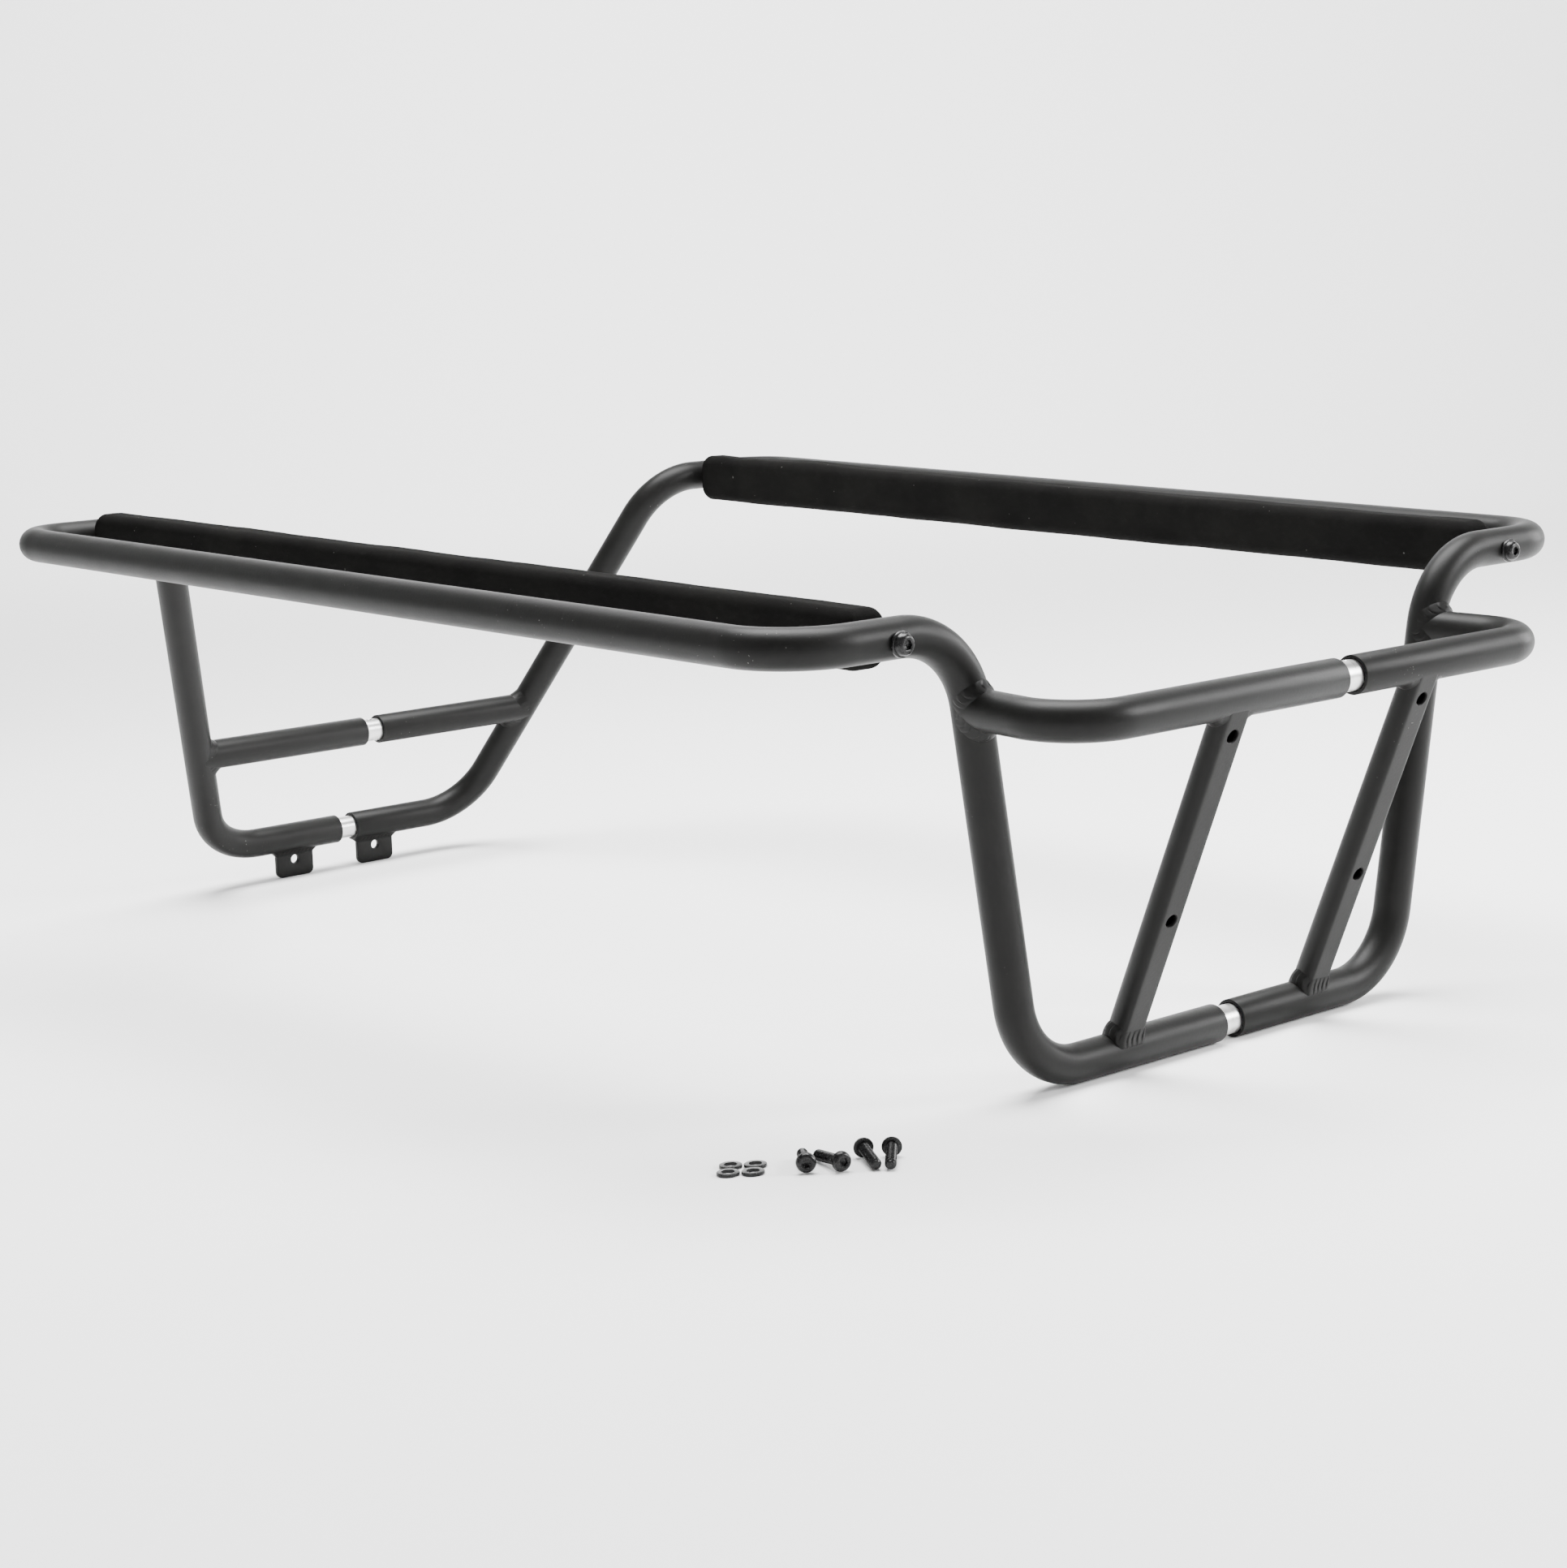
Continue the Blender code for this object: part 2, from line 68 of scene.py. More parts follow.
# Layout of one half, in the CAD's own places
BASE_A_X = -0.929
MID_X = -0.884
TOP_A_X = -0.786
TOP_B_X = -0.001
BUMPER_X = 0.0787
BASE_A_Z = -0.0212
MID_Z = 0.0635
BUMPER_Z = 0.207
RAIL_Z = 0.2496
HALF_BASE_A = 0.118
HALF_TOP_A = 0.2207
HALF_RAIL_A = 0.331
HALF_RAIL_B = 0.3136
HALF_TOP_B = 0.1951
HALF_BASE_B = 0.1531
HALF_BUMPER = 0.1950
# bend radii of the main tube, from end A's base bar to end B's
BENDS = (0.0537, 0.0490, 0.0300, 0.0412, 0.0500, 0.0488)
BEND_BUMPER = 0.0350
GAP = 0.014
GAP_BASE_A_Y = 0.001
GAP_MID_Y = 0.002
GAP_BASE_B_Y = 0.007
GAP_BUMPER_Y = 0.015
PIN_HOLE_R = 0.0020
PIN_DRILL = 0.004

# Struts and tabs
STRUT_R = 0.0100
STRUT_FLAT = 0.0065
STRUT_WALL = 0.0020
STRUT_Y = 0.0787
STRUT_HEAD_OUT = 0.0047
STRUT_HOLE_R = 0.0040
STRUT_HOLES = (0.0892, 0.2042)
STRUT_DRILL = 0.006
TAB_WIDTH = 0.033
TAB_DROP = 0.0207
TAB_THICK = 0.0040
TAB_CORNER = 0.0050
TAB_BITE = 0.0012
TAB_WELD_UP = 0.004
TAB_HOLE_R = 0.0035
TAB_HOLE_UP = 0.0138
TAB_Y = {-1: -0.0460, 1: 0.0290}
TAB_SECTION_EDGE = 0.0012
HOLE_CHAMFER = 0.0004
PLATE_BEVEL = 0.0005

# Padded side bars
PAD_WIDTH = 0.024
PAD_HEIGHT_A = 0.0352
PAD_HEIGHT_B = 0.0323
PAD_EDGE = 0.0070
PAD_END = 0.0065
PAD_TAPER_WIDTH = 0.15
PAD_TAPER_HEIGHT = 1.8
PAD_TAPER_EDGE = 0.2
PAD_Z = 0.2482
PAD_Y_A = {-1: -0.2690, 1: 0.2695}
PAD_Y_B = {-1: -0.2472, 1: 0.2532}
# how far in from the cross tubes' axes the foam and the core start
PAD_INSET = 0.0117
CORE_INSET = 0.0133
CORE_R = 0.0070
SADDLE_R = 0.0085
SADDLE_THICK = 0.0016
SADDLE_CHAMFER = 0.0005
SADDLE_GAP = 0.0001
BORE_SINK = 0.0001

# Swells along a pad's skin: how far along it is centred, how far it spreads, and its height
PAD_HUMP = (0.17, 0.055, 0.0011)
PAD_DIP = (0.055, 0.022, -0.0008)
PAD_TUCK = (1.0, 0.016, -0.0060)

# Unevenness of a pad's skin: heights, and rates along it and round it
PAD_WAVE = 0.00045
PAD_RIPPLE = 0.00018
PAD_RATE_ALONG = 14.0
PAD_RATE_ROUND = 60.0
PAD_RIPPLE_RATE = 3.1
PAD_SIDE_SHIFT = 5.0

# Hardware, M6
BOLT_R = 0.0030
THREAD_PITCH = 0.0010
THREAD_DEPTH = 0.00035
PAD_BOLT = {"length": 0.045, "head_r": 0.0060, "head_h": 0.0040, "socket": 0.0024}
LOOSE_BOLT = {"length": 0.025, "head_r": 0.0053, "head_h": 0.0033, "socket": 0.0020}
PAD_WASHER_R = 0.0070
LOOSE_WASHER_R = 0.0060
WASHER_HOLE_R = 0.0033
WASHER_THICK = 0.0016
CLEARANCE = 0.0003
# the way each loose bolt's tip points, in degrees from X towards Y
LOOSE_BOLT_HEADINGS = (144, 168, -27, -44)

# Weld beads: leg is the width on the tube, climb the width on the branch, crown the bulge, and scales of the
# given depth repeat at pitch
WELDS = {
    "bumper": {"leg": 0.0056, "climb": 0.0050, "crown": 0.0001, "pitch": 0.0044, "depth": 0.0006, "seed": 11},
    "mid": {"leg": 0.0052, "climb": 0.0052, "crown": -0.0005, "pitch": 0.0042, "depth": 0.0003, "seed": 21},
    "foot": {"leg": 0.0022, "climb": 0.0090, "crown": 0.0001, "pitch": 0.0038, "depth": 0.0008, "seed": 31},
    "head": {"leg": 0.0056, "climb": 0.0034, "crown": -0.0004, "pitch": 0.0038, "depth": 0.0002, "seed": 38},
    "tab": {"leg": 0.0040, "climb": 0.0034, "crown": -0.0003, "pitch": 0.0036, "depth": 0.0002, "seed": 51},
}

# A branch's outline starts this far back from its end, and slides up to the reach towards the tube
WELD_BACK = 0.035
WELD_REACH = 0.060
COPE_BACK = 0.030
COPE_REACH = 0.035
STRUT_REACH = 0.125
COPE_BITE = 0.0006
# A vertex belongs to a pipe's first end if it is this near its plane and within this many radii of its axis
COPE_WINDOW = 0.002
COPE_MARGIN = 1.2

SIDE_NAMES = {-1: "left", 1: "right"}
BODIES = {-1: "left_half", 1: "right_half"}


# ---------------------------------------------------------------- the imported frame

def middle_of(node):
    low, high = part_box(node)
    return (low + high) / 2


def find_frame():
    """The matrix from the layout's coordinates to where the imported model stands."""
    bar_a = middle_of("spigot_base_a")
    bar_b = middle_of("spigot_base_b")
    laid_out = math.atan2(-BASE_A_Z, -BASE_A_X)
    standing = math.atan2(bar_b.z - bar_a.z, bar_b.x - bar_a.x)
    place = Vector((bar_b.x, bar_b.y - GAP_BASE_B_Y, bar_b.z))
    return Matrix.Translation(place) @ Matrix.Rotation(laid_out - standing, 4, "Y")


FRAME = find_frame()


# ---------------------------------------------------------------- mesh helpers

def add_piece(name, mesh, material, body, nodes=(), place=None, sharp=35):
    """Link a mesh as a named piece that rides on a body and stands for CAD nodes."""
    mesh.transform(FRAME if place is None else place)
    mesh.shade_smooth()
    mesh.set_sharp_from_angle(angle=math.radians(sharp))
    mesh.materials.clear()
    mesh.materials.append(material)
    piece = bpy.data.objects.new(name, mesh)
    bpy.context.scene.collection.objects.link(piece)
    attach(piece, body)
    if nodes:
        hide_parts(*nodes)
    return piece


def skin(rings, loop=False):
    """A closed mesh over rings of points. With loop the last ring meets the first; else the ends are capped."""
    count = len(rings[0])
    points = [tuple(point) for ring in rings for point in ring]
    faces = []
    last = len(rings) if loop else len(rings) - 1
    for row in range(last):
        low = row * count
        high = (row + 1) % len(rings) * count
        for i in range(count):
            j = (i + 1) % count
            faces.append((low + i, low + j, high + j, high + i))
    if not loop:
        faces.append(tuple(range(count)))
        faces.append(tuple(reversed(range(len(points) - count, len(points)))))
    mesh = bpy.data.meshes.new("piece")
    mesh.from_pydata(points, [], faces)
    bm = bmesh.new()
    bm.from_mesh(mesh)
    bmesh.ops.recalc_face_normals(bm, faces=bm.faces)
    bm.to_mesh(mesh)
    bm.free()
    return mesh


BEVEL_SEGMENTS = 3
BEVEL_ANGLE = math.radians(40)


def cut_mesh(mesh, cutters, bevel=0.0):
    """The mesh with cutters taken out of it, and its sharp edges bevelled if asked."""
    work = bpy.data.objects.new("work", mesh)
    bpy.context.scene.collection.objects.link(work)
    tools = []
    for cutter in cutters:
        tool = bpy.data.objects.new("tool", cutter)
        bpy.context.scene.collection.objects.link(tool)
        tools.append(tool)
        modifier = work.modifiers.new("Cut", "BOOLEAN")
        modifier.operation = "DIFFERENCE"
        modifier.solver = "EXACT"
        modifier.object = tool
    if bevel:
        modifier = work.modifiers.new("Bevel", "BEVEL")
        modifier.width = bevel
        modifier.segments = BEVEL_SEGMENTS
        modifier.limit_method = "ANGLE"
        modifier.angle_limit = BEVEL_ANGLE
    bpy.context.view_layer.update()
    depsgraph = bpy.context.evaluated_depsgraph_get()
    made = bpy.data.meshes.new_from_object(work.evaluated_get(depsgraph))
    for old in [work, *tools]:
        bpy.data.objects.remove(old, do_unlink=True)
    return made


def rounded_path(corners, radii):
    """Points along straight runs joined by arcs; radii has one value for each inner corner."""
    points = [Vector(corners[0])]
    for index, radius in enumerate(radii, start=1):
        corner = Vector(corners[index])
        back = (Vector(corners[index - 1]) - corner).normalized()
        ahead = (Vector(corners[index + 1]) - corner).normalized()
        inside = back.angle(ahead)
        turn = math.pi - inside
        start = corner + back * (radius / math.tan(inside / 2))
        centre = corner + (back + ahead).normalized() * (radius / math.sin(inside / 2))
        spoke = start - centre
        steps = max(2, round(turn / BEND_STEP))
        for step in range(steps + 1):
            angle = turn * step / steps
            points.append(centre + spoke * math.cos(angle) - back * radius * math.sin(angle))
    points.append(Vector(corners[-1]))
    return points


def path_frames(points):
    """The tangent and a pair of cross axes at each point, carried along without twist."""
    frames = []
    side = None
    for index, point in enumerate(points):
        before = points[max(index - 1, 0)]
        after = points[min(index + 1, len(points) - 1)]
        tangent = (after - point).normalized() + (point - before).normalized()
        tangent.normalize()
        if side is None:
            # level with the floor, unless the path starts nearly upright
            side = tangent.orthogonal().normalized()
            if abs(tangent.z) < 0.9:
                side = tangent.cross(Vector((0, 0, 1))).normalized()
        side = (side - tangent * side.dot(tangent)).normalized()
        frames.append((tangent, side, tangent.cross(side)))
    return frames


def circle(radius, sides=SIDES):
    return [(radius * math.cos(2 * math.pi * i / sides), radius * math.sin(2 * math.pi * i / sides))
            for i in range(sides)]


def pipe(points, radius=TUBE_R, wall=TUBE_WALL):
    """A hollow tube along a path, with its cut ends broken by a small lip."""
    frames = path_frames(points)

    def ring(index, size, slide):
        tangent, side, up = frames[index]
        return [points[index] + tangent * slide + side * u + up * v for u, v in circle(size)]

    last = len(points) - 1
    inner = radius - wall
    lip = TUBE_LIP
    # a path index, a radius and a slide along the path for each ring
    profile = [(0, radius - lip, 0.0), (0, radius - 0.3 * lip, 0.3 * lip), (0, radius, lip)]
    profile += [(index, radius, 0.0) for index in range(1, last)]
    profile += [(last, radius, -lip), (last, radius - 0.3 * lip, -0.3 * lip), (last, radius - lip, 0.0)]
    profile += [(last, inner + 0.5 * lip, 0.0), (last, inner, -0.5 * lip)]
    profile += [(index, inner, 0.0) for index in range(last - 1, 0, -1)]
    profile += [(0, inner, 0.5 * lip), (0, inner + 0.5 * lip, 0.0)]
    return skin([ring(*entry) for entry in profile], loop=True)


def nearest_on(spine, points):
    """For each point, the nearest point on a polyline and the distance to it."""
    starts = spine[:-1]
    runs = spine[1:] - starts
    lengths = (runs * runs).sum(1)
    best = np.full(points.shape[:-1], np.inf)
    where = np.zeros_like(points)
    for start, run, length in zip(starts, runs, lengths):
        share = np.clip(((points - start) @ run) / length, 0, 1)
        foot = start + share[..., None] * run
        gap = np.linalg.norm(points - foot, axis=-1)
        closer = gap < best
        best = np.where(closer, gap, best)
        where = np.where(closer[..., None], foot, where)
    return where, best


def near_stretch(spine, place, reach):
    """The stretch of a polyline that comes within reach of a place, or all of it if none does."""
    close = [index for index in range(len(spine) - 1)
             if nearest_on(spine[index:index + 2], place[None, :])[1][0] < reach]
    return spine[close[0]:close[-1] + 2] if close else spine


TRAVEL_STEPS = 500


def meet(points, heading, spine, radius, reach):
    """Slide each point along heading until it is within radius of the spine, or as near as it gets."""
    starts = np.array(points, float)
    heading = np.array(heading, float)
    middle = starts.mean(0)
    spread = np.linalg.norm(starts - middle, axis=1).max()
    spine = near_stretch(spine, middle + heading * reach / 2, reach / 2 + spread + 2 * radius)
    travel = np.linspace(0, reach, TRAVEL_STEPS)
    places = starts[:, None, :] + travel[None, :, None] * heading
    _, gaps = nearest_on(spine, places)
    found = []
    for row, gap in enumerate(gaps):
        inside = np.nonzero(gap <= radius)[0]
        if len(inside) and inside[0] > 0:
            index = inside[0]
            share = (gap[index - 1] - radius) / (gap[index - 1] - gap[index])
            distance = travel[index - 1] + share * (travel[index] - travel[index - 1])
        else:
            distance = travel[int(gap.argmin())]
        found.append(starts[row] + heading * distance)
    return np.array(found)


def spine_of(points):
    return np.array([tuple(point) for point in points], float)


def rectangle_perimeter(half_u, half_v, edge):
    return 4 * (half_u + half_v - 2 * edge) + 2 * math.pi * edge


def walk_rectangle(half_u, half_v, edge, walked):
    """The point and outward normal after walking round a rectangle with rounded corners, from (half_u, 0)."""
    straight_u = 2 * (half_u - edge)
    straight_v = 2 * (half_v - edge)
    arc = math.pi / 2 * edge
    # length, starting point or corner's centre, and the way along a side or a corner's first angle
    runs = ((straight_v / 2, (half_u, 0), (0, 1)), (arc, (half_u - edge, half_v - edge), 0),
            (straight_u, (half_u - edge, half_v), (-1, 0)), (arc, (edge - half_u, half_v - edge), 90),
            (straight_v, (-half_u, half_v - edge), (0, -1)), (arc, (edge - half_u, edge - half_v), 180),
            (straight_u, (edge - half_u, -half_v), (1, 0)), (arc, (half_u - edge, edge - half_v), 270),
            (straight_v / 2, (half_u, edge - half_v), (0, 1)))
    for run in runs:
        length, start, way = run
        if walked <= length or run is runs[-1]:
            break
        walked -= length
    if isinstance(way, tuple):
        return (start[0] + way[0] * walked, start[1] + way[1] * walked), (way[1], -way[0])
    angle = math.radians(way) + walked / edge
    normal = (math.cos(angle), math.sin(angle))
    return (start[0] + edge * normal[0], start[1] + edge * normal[1]), normal


# ---------------------------------------------------------------- paths of one half

def gap_end(gap_middle, side):
    return gap_middle + side * GAP / 2


def between(low, high, share):
    return low + (high - low) * share


def main_path(side):
    corners = (
        (BASE_A_X, gap_end(GAP_BASE_A_Y, side), BASE_A_Z),
        (BASE_A_X, side * HALF_BASE_A, BASE_A_Z),
        (TOP_A_X, side * HALF_TOP_A, RAIL_Z),
        (TOP_A_X, side * HALF_RAIL_A, RAIL_Z),
        (TOP_B_X, side * HALF_RAIL_B, RAIL_Z),
        (TOP_B_X, side * HALF_TOP_B, RAIL_Z),
        (0.0, side * HALF_BASE_B, 0.0),
        (0.0, gap_end(GAP_BASE_B_Y, side), 0.0),
    )
    return rounded_path(corners, BENDS)


def bumper_path(side):
    share = BUMPER_Z / RAIL_Z
    corners = (
        (between(0.0, TOP_B_X, share), side * between(HALF_BASE_B, HALF_TOP_B, share), BUMPER_Z),
        (BUMPER_X, side * HALF_BUMPER, BUMPER_Z),
        (BUMPER_X, gap_end(GAP_BUMPER_Y, side), BUMPER_Z),
    )
    return rounded_path(corners, (BEND_BUMPER,))


def mid_path(side):
    share = (MID_Z - BASE_A_Z) / (RAIL_Z - BASE_A_Z)
    leg_y = side * between(HALF_BASE_A, HALF_TOP_A, share)
    return [Vector((MID_X, leg_y, MID_Z)), Vector((MID_X, gap_end(GAP_MID_Y, side), MID_Z))]


def pad_point(share, side):
    x = between(TOP_A_X, TOP_B_X, share)
    y = between(PAD_Y_A[side], PAD_Y_B[side], share)
    return Vector((x, y, PAD_Z))


def pad_axis(side):
    start = pad_point(0, side)
    run = pad_point(1, side) - start
    return start, run.normalized(), run.length


def strut_axes():
    """Direction up the strut, the outward normal of its flat side, and the direction across it."""
    up = Vector((BUMPER_X + STRUT_HEAD_OUT, 0, BUMPER_Z)).normalized()
    out = Vector((up.z, 0, -up.x))
    return up, out, up.cross(out)


# ---------------------------------------------------------------- materials

# Darkest and lightest base colour of each surface, and the colour of the specks on two of them
CHARCOAL = ((0.0046, 0.0046, 0.0044), (0.0066, 0.0066, 0.0062))
SPECK = (0.10, 0.10, 0.095)
ALUMINIUM = ((0.62, 0.62, 0.61), (0.76, 0.76, 0.75))
FOAM_BLACK = ((0.0058, 0.0058, 0.0056), (0.0085, 0.0085, 0.0080))
DUST = (0.06, 0.06, 0.055)
STEEL_BLACK = ((0.005, 0.005, 0.0052), (0.011, 0.011, 0.0113))
FLOOR_WHITE = ((0.93, 0.93, 0.93), (0.945, 0.945, 0.945))


class Surface:
    """A Principled material being made, its textures placed by object coordinates."""

    def __init__(self, name):
        self.material = bpy.data.materials.new(name)
        self.material.use_nodes = True
        self.nodes = self.material.node_tree.nodes
        self.links = self.material.node_tree.links
        self.place = self.nodes.new("ShaderNodeTexCoord").outputs["Object"]

    def feed(self, socket, value):
        """Link a socket to another node's output, or set it to a constant."""
        if isinstance(value, bpy.types.NodeSocket):
            self.links.new(value, socket)
        else:
            socket.default_value = value

    def add(self, kind, **inputs):
        """A new node, with its inputs named with underscores for spaces."""
        node = self.nodes.new(kind)
        for name, value in inputs.items():
            self.feed(node.inputs[name.replace("_", " ")], value)
        return node

    def noise(self, scale, detail, vector=None):
        """Noise laid by object coordinates, or by the vector given."""
        vector = self.place if vector is None else vector
        return self.add("ShaderNodeTexNoise", Vector=vector, Scale=scale, Detail=detail).outputs["Fac"]

    def ramp(self, source, low, high, low_value=0.0, high_value=1.0):
        """The source mapped from low..high to low_value..high_value, and held there outside."""
        return self.add("ShaderNodeMapRange", Value=source, From_Min=low, From_Max=high,
                        To_Min=low_value, To_Max=high_value).outputs["Result"]

    def combine(self, operation, first, second):
        node = self.nodes.new("ShaderNodeMath")
        node.operation = operation
        self.feed(node.inputs[0], first)
        self.feed(node.inputs[1], second)
        return node.outputs["Value"]

    def mix(self, factor, first, second):
        """A blend of two colours, each an output or three numbers."""
        node = self.nodes.new("ShaderNodeMix")
        node.data_type = "RGBA"
        self.feed(node.inputs["Factor"], factor)
        sockets = [socket for socket in node.inputs if socket.type == "RGBA"]
        for socket, colour in zip(sockets, (first, second)):
            self.feed(socket, (*colour, 1.0) if isinstance(colour, tuple) else colour)
        return [socket for socket in node.outputs if socket.type == "RGBA"][0]

    def bump(self, height, strength, distance):
        return self.add("ShaderNodeBump", Strength=strength, Distance=distance, Height=height).outputs["Normal"]

    def bump_over(self, normal, height, strength, distance):
        """A second, finer bump on top of the first."""
        return self.add("ShaderNodeBump", Strength=strength, Distance=distance, Height=height,
                        Normal=normal).outputs["Normal"]

    def finish(self, **inputs):
        """Feed the Principled shader and return the material."""
        shader = self.nodes["Principled BSDF"]
        for name, value in inputs.items():
            self.feed(shader.inputs[name.replace("_", " ")], value)
        return self.material


def powder_coat():
    """Satin charcoal powder coat: slight orange peel, soft mottling, and pale specks in worn areas."""
    coat = Surface("charcoal_powder_coat")
    mottle = coat.noise(34.0, 3.0)
    fine = coat.noise(1500.0, 2.0)
    peel = coat.noise(520.0, 2.0)
    specks = coat.ramp(coat.noise(900.0, 0.0), 0.83, 0.86)
    worn = coat.ramp(coat.noise(9.0, 2.0), 0.56, 0.66)
    base = coat.mix(coat.ramp(mottle, 0.3, 0.7), *CHARCOAL)
    base = coat.mix(coat.combine("MULTIPLY", specks, worn), base, SPECK)
    rough = coat.ramp(mottle, 0.25, 0.75, 0.41, 0.48)
    rough = coat.combine("ADD", rough, coat.ramp(fine, 0.3, 0.7, -0.02, 0.03))
    normal = coat.bump_over(coat.bump(peel, 0.20, 0.00020), fine, 0.25, 0.00006)
    return coat.finish(Base_Color=base, Roughness=rough, Specular_IOR_Level=0.14, Normal=normal)


def bare_aluminium():
    """Turned and wiped aluminium: fine lines round the tube's axis and soft smudges."""
    metal = Surface("bare_aluminium")
    stretched = metal.add("ShaderNodeMapping", Vector=metal.place, Scale=(60.0, 2600.0, 60.0)).outputs["Vector"]
    lines = metal.noise(1.0, 4.0, stretched)
    base = metal.mix(metal.ramp(metal.noise(170.0, 3.0), 0.3, 0.7), *ALUMINIUM)
    return metal.finish(Base_Color=base, Metallic=1.0, Roughness=metal.ramp(lines, 0.3, 0.7, 0.26, 0.42),
                        Normal=metal.bump(lines, 0.35, 0.00003))


def black_foam():
    """Closed-cell foam skin: very matte, with fine pores, slow mottling and a little pale dust."""
    foam = Surface("black_foam")
    cells = foam.add("ShaderNodeTexVoronoi", Vector=foam.place, Scale=1400.0).outputs["Distance"]
    slow = foam.noise(22.0, 4.0)
    base = foam.mix(foam.ramp(slow, 0.35, 0.65), *FOAM_BLACK)
    base = foam.mix(foam.ramp(foam.noise(420.0, 0.0), 0.87, 0.885), base, DUST)
    normal = foam.bump_over(foam.bump(cells, 0.35, 0.00025), foam.noise(900.0, 4.0), 0.40, 0.00030)
    return foam.finish(Base_Color=base, Roughness=foam.ramp(slow, 0.3, 0.7, 0.86, 0.97),
                       Specular_IOR_Level=0.02, Normal=normal)


def black_steel():
    """Black oxide steel with a light oil film in uneven patches."""
    steel = Surface("black_steel")
    patch = steel.noise(420.0, 3.0)
    base = steel.mix(steel.ramp(patch, 0.35, 0.7), *STEEL_BLACK)
    return steel.finish(Base_Color=base, Roughness=steel.ramp(patch, 0.3, 0.7, 0.22, 0.34),
                        Specular_IOR_Level=0.24, Normal=steel.bump(steel.noise(2600.0, 2.0), 0.15, 0.00003))


def pale_floor():
    """Matte studio floor with a hardly visible grain."""
    floor = Surface("studio_floor")
    base = floor.mix(floor.noise(60.0, 3.0), *FLOOR_WHITE)
    return floor.finish(Base_Color=base, Roughness=0.9, Specular_IOR_Level=0.1)


POWDER = powder_coat()
BARE = bare_aluminium()
FOAM = black_foam()
STEEL = black_steel()


# ---------------------------------------------------------------- welds

BEAD_RINGS = 240
BEAD_ARC = 11
BEAD_FEWEST = 6
# unevenness: shift of a scale as a share of the pitch, its size, and the wobble of the bead's width
BEAD_SHIFT = 0.16
BEAD_SIZES = (0.75, 1.2)
BEAD_WOBBLE = 0.10
BEAD_WOBBLE_RATE = 160
# how far a scale leads in the bead's middle, and how full its arc is
BEAD_LEAN = 0.55
BEAD_ROUNDNESS = 0.75
# depths inside the metal of the bead's toes, of the skin under them and of its root
BEAD_SINK = 0.0001
BEAD_UNDER = 0.0008
BEAD_ROOT = 0.0012
RIPPLE_RISE = 0.22
RIPPLE_FALL = 0.75


def ripple(phase):
    """One scale of a weld bead: a quick rise and a slow fall."""
    share = phase % 1.0
    rise = min(1.0, share / RIPPLE_RISE)
    rise = rise * rise * (3 - 2 * rise)
    return rise * (1 - RIPPLE_FALL * share)


def weld_bead(outline, normals, heading, spine, side, leg, climb, crown, pitch, depth, seed):
    """A fillet bead round a branch, where its skin, running from outline along heading, meets the spine's tube.

    Under its visible arc, each ring of the bead closes inside the metal.
    """
    rng = random.Random(seed + side)
    corner = [Vector(point) for point in meet(outline, heading, spine, TUBE_R, WELD_REACH)]
    places = spine_of(corner)
    spine = near_stretch(spine, places.mean(0), 4 * TUBE_R)
    feet, _ = nearest_on(spine, places)
    count = len(corner)
    length = sum((corner[i] - corner[i - 1]).length for i in range(count))
    scales = max(BEAD_FEWEST, round(length / pitch))
    shifts = [rng.uniform(-BEAD_SHIFT, BEAD_SHIFT) for _ in range(scales)]
    sizes = [rng.uniform(*BEAD_SIZES) for _ in range(scales)]
    travelled = 0.0
    rings = []
    for i, point in enumerate(corner):
        ahead = corner[(i + 1) % count]
        before = corner[i - 1]
        if i:
            travelled += (point - before).length
        tangent = (ahead - before).normalized()
        branch_normal = normals[i]
        main_normal = (point - Vector(feet[i])).normalized()
        along_main = main_normal.cross(tangent)
        if along_main.dot(branch_normal + heading) < 0:
            along_main = -along_main
        wobble = 1 + BEAD_WOBBLE * noise.noise(point * BEAD_WOBBLE_RATE)
        toe_main = point + along_main * leg * wobble
        foot, _ = nearest_on(spine, np.array([tuple(toe_main)]))
        foot = Vector(foot[0])
        toe_main = foot + (toe_main - foot).normalized() * (TUBE_R - BEAD_SINK)
        toe_branch = point - heading * climb * wobble - branch_normal * BEAD_SINK
        bulge = (main_normal + branch_normal).normalized()
        ring = []
        for step in range(BEAD_ARC + 1):
            share = step / BEAD_ARC
            arch = math.sin(math.pi * share)
            phase = travelled / length * scales + BEAD_LEAN * arch
            index = int(phase) % scales
            lift = crown + depth * sizes[index] * ripple(phase + shifts[index] * arch)
            ring.append(toe_main.lerp(toe_branch, share) + bulge * lift * arch ** BEAD_ROUNDNESS)
        ring.append(toe_branch - branch_normal * BEAD_UNDER)
        ring.append(point - bulge * BEAD_ROOT)
        ring.append(toe_main - main_normal * BEAD_UNDER)
        rings.append(ring)
    return skin(rings, loop=True)


def add_weld(name, kind, side, outline, normals, heading, spine):
    """Lay one kind of bead as a piece of its half."""
    bead = weld_bead(outline, normals, heading, spine, side, **WELDS[kind])
    add_piece(name, bead, POWDER, BODIES[side])


def round_outline(end, heading):
    """Points and outward normals of a tube's section square to heading, set back from its end."""
    side = heading.cross(Vector((0, 0, 1)))
    # a heading near the vertical takes its side from Y instead
    if side.length < 0.5:
        side = heading.cross(Vector((0, 1, 0)))
    side.normalize()
    up = heading.cross(side)
    centre = end - heading * WELD_BACK
    normals = [side * u + up * v for u, v in circle(1.0, BEAD_RINGS)]
    return [centre + normal * TUBE_R for normal in normals], normals


# ---------------------------------------------------------------- tubes with coped ends

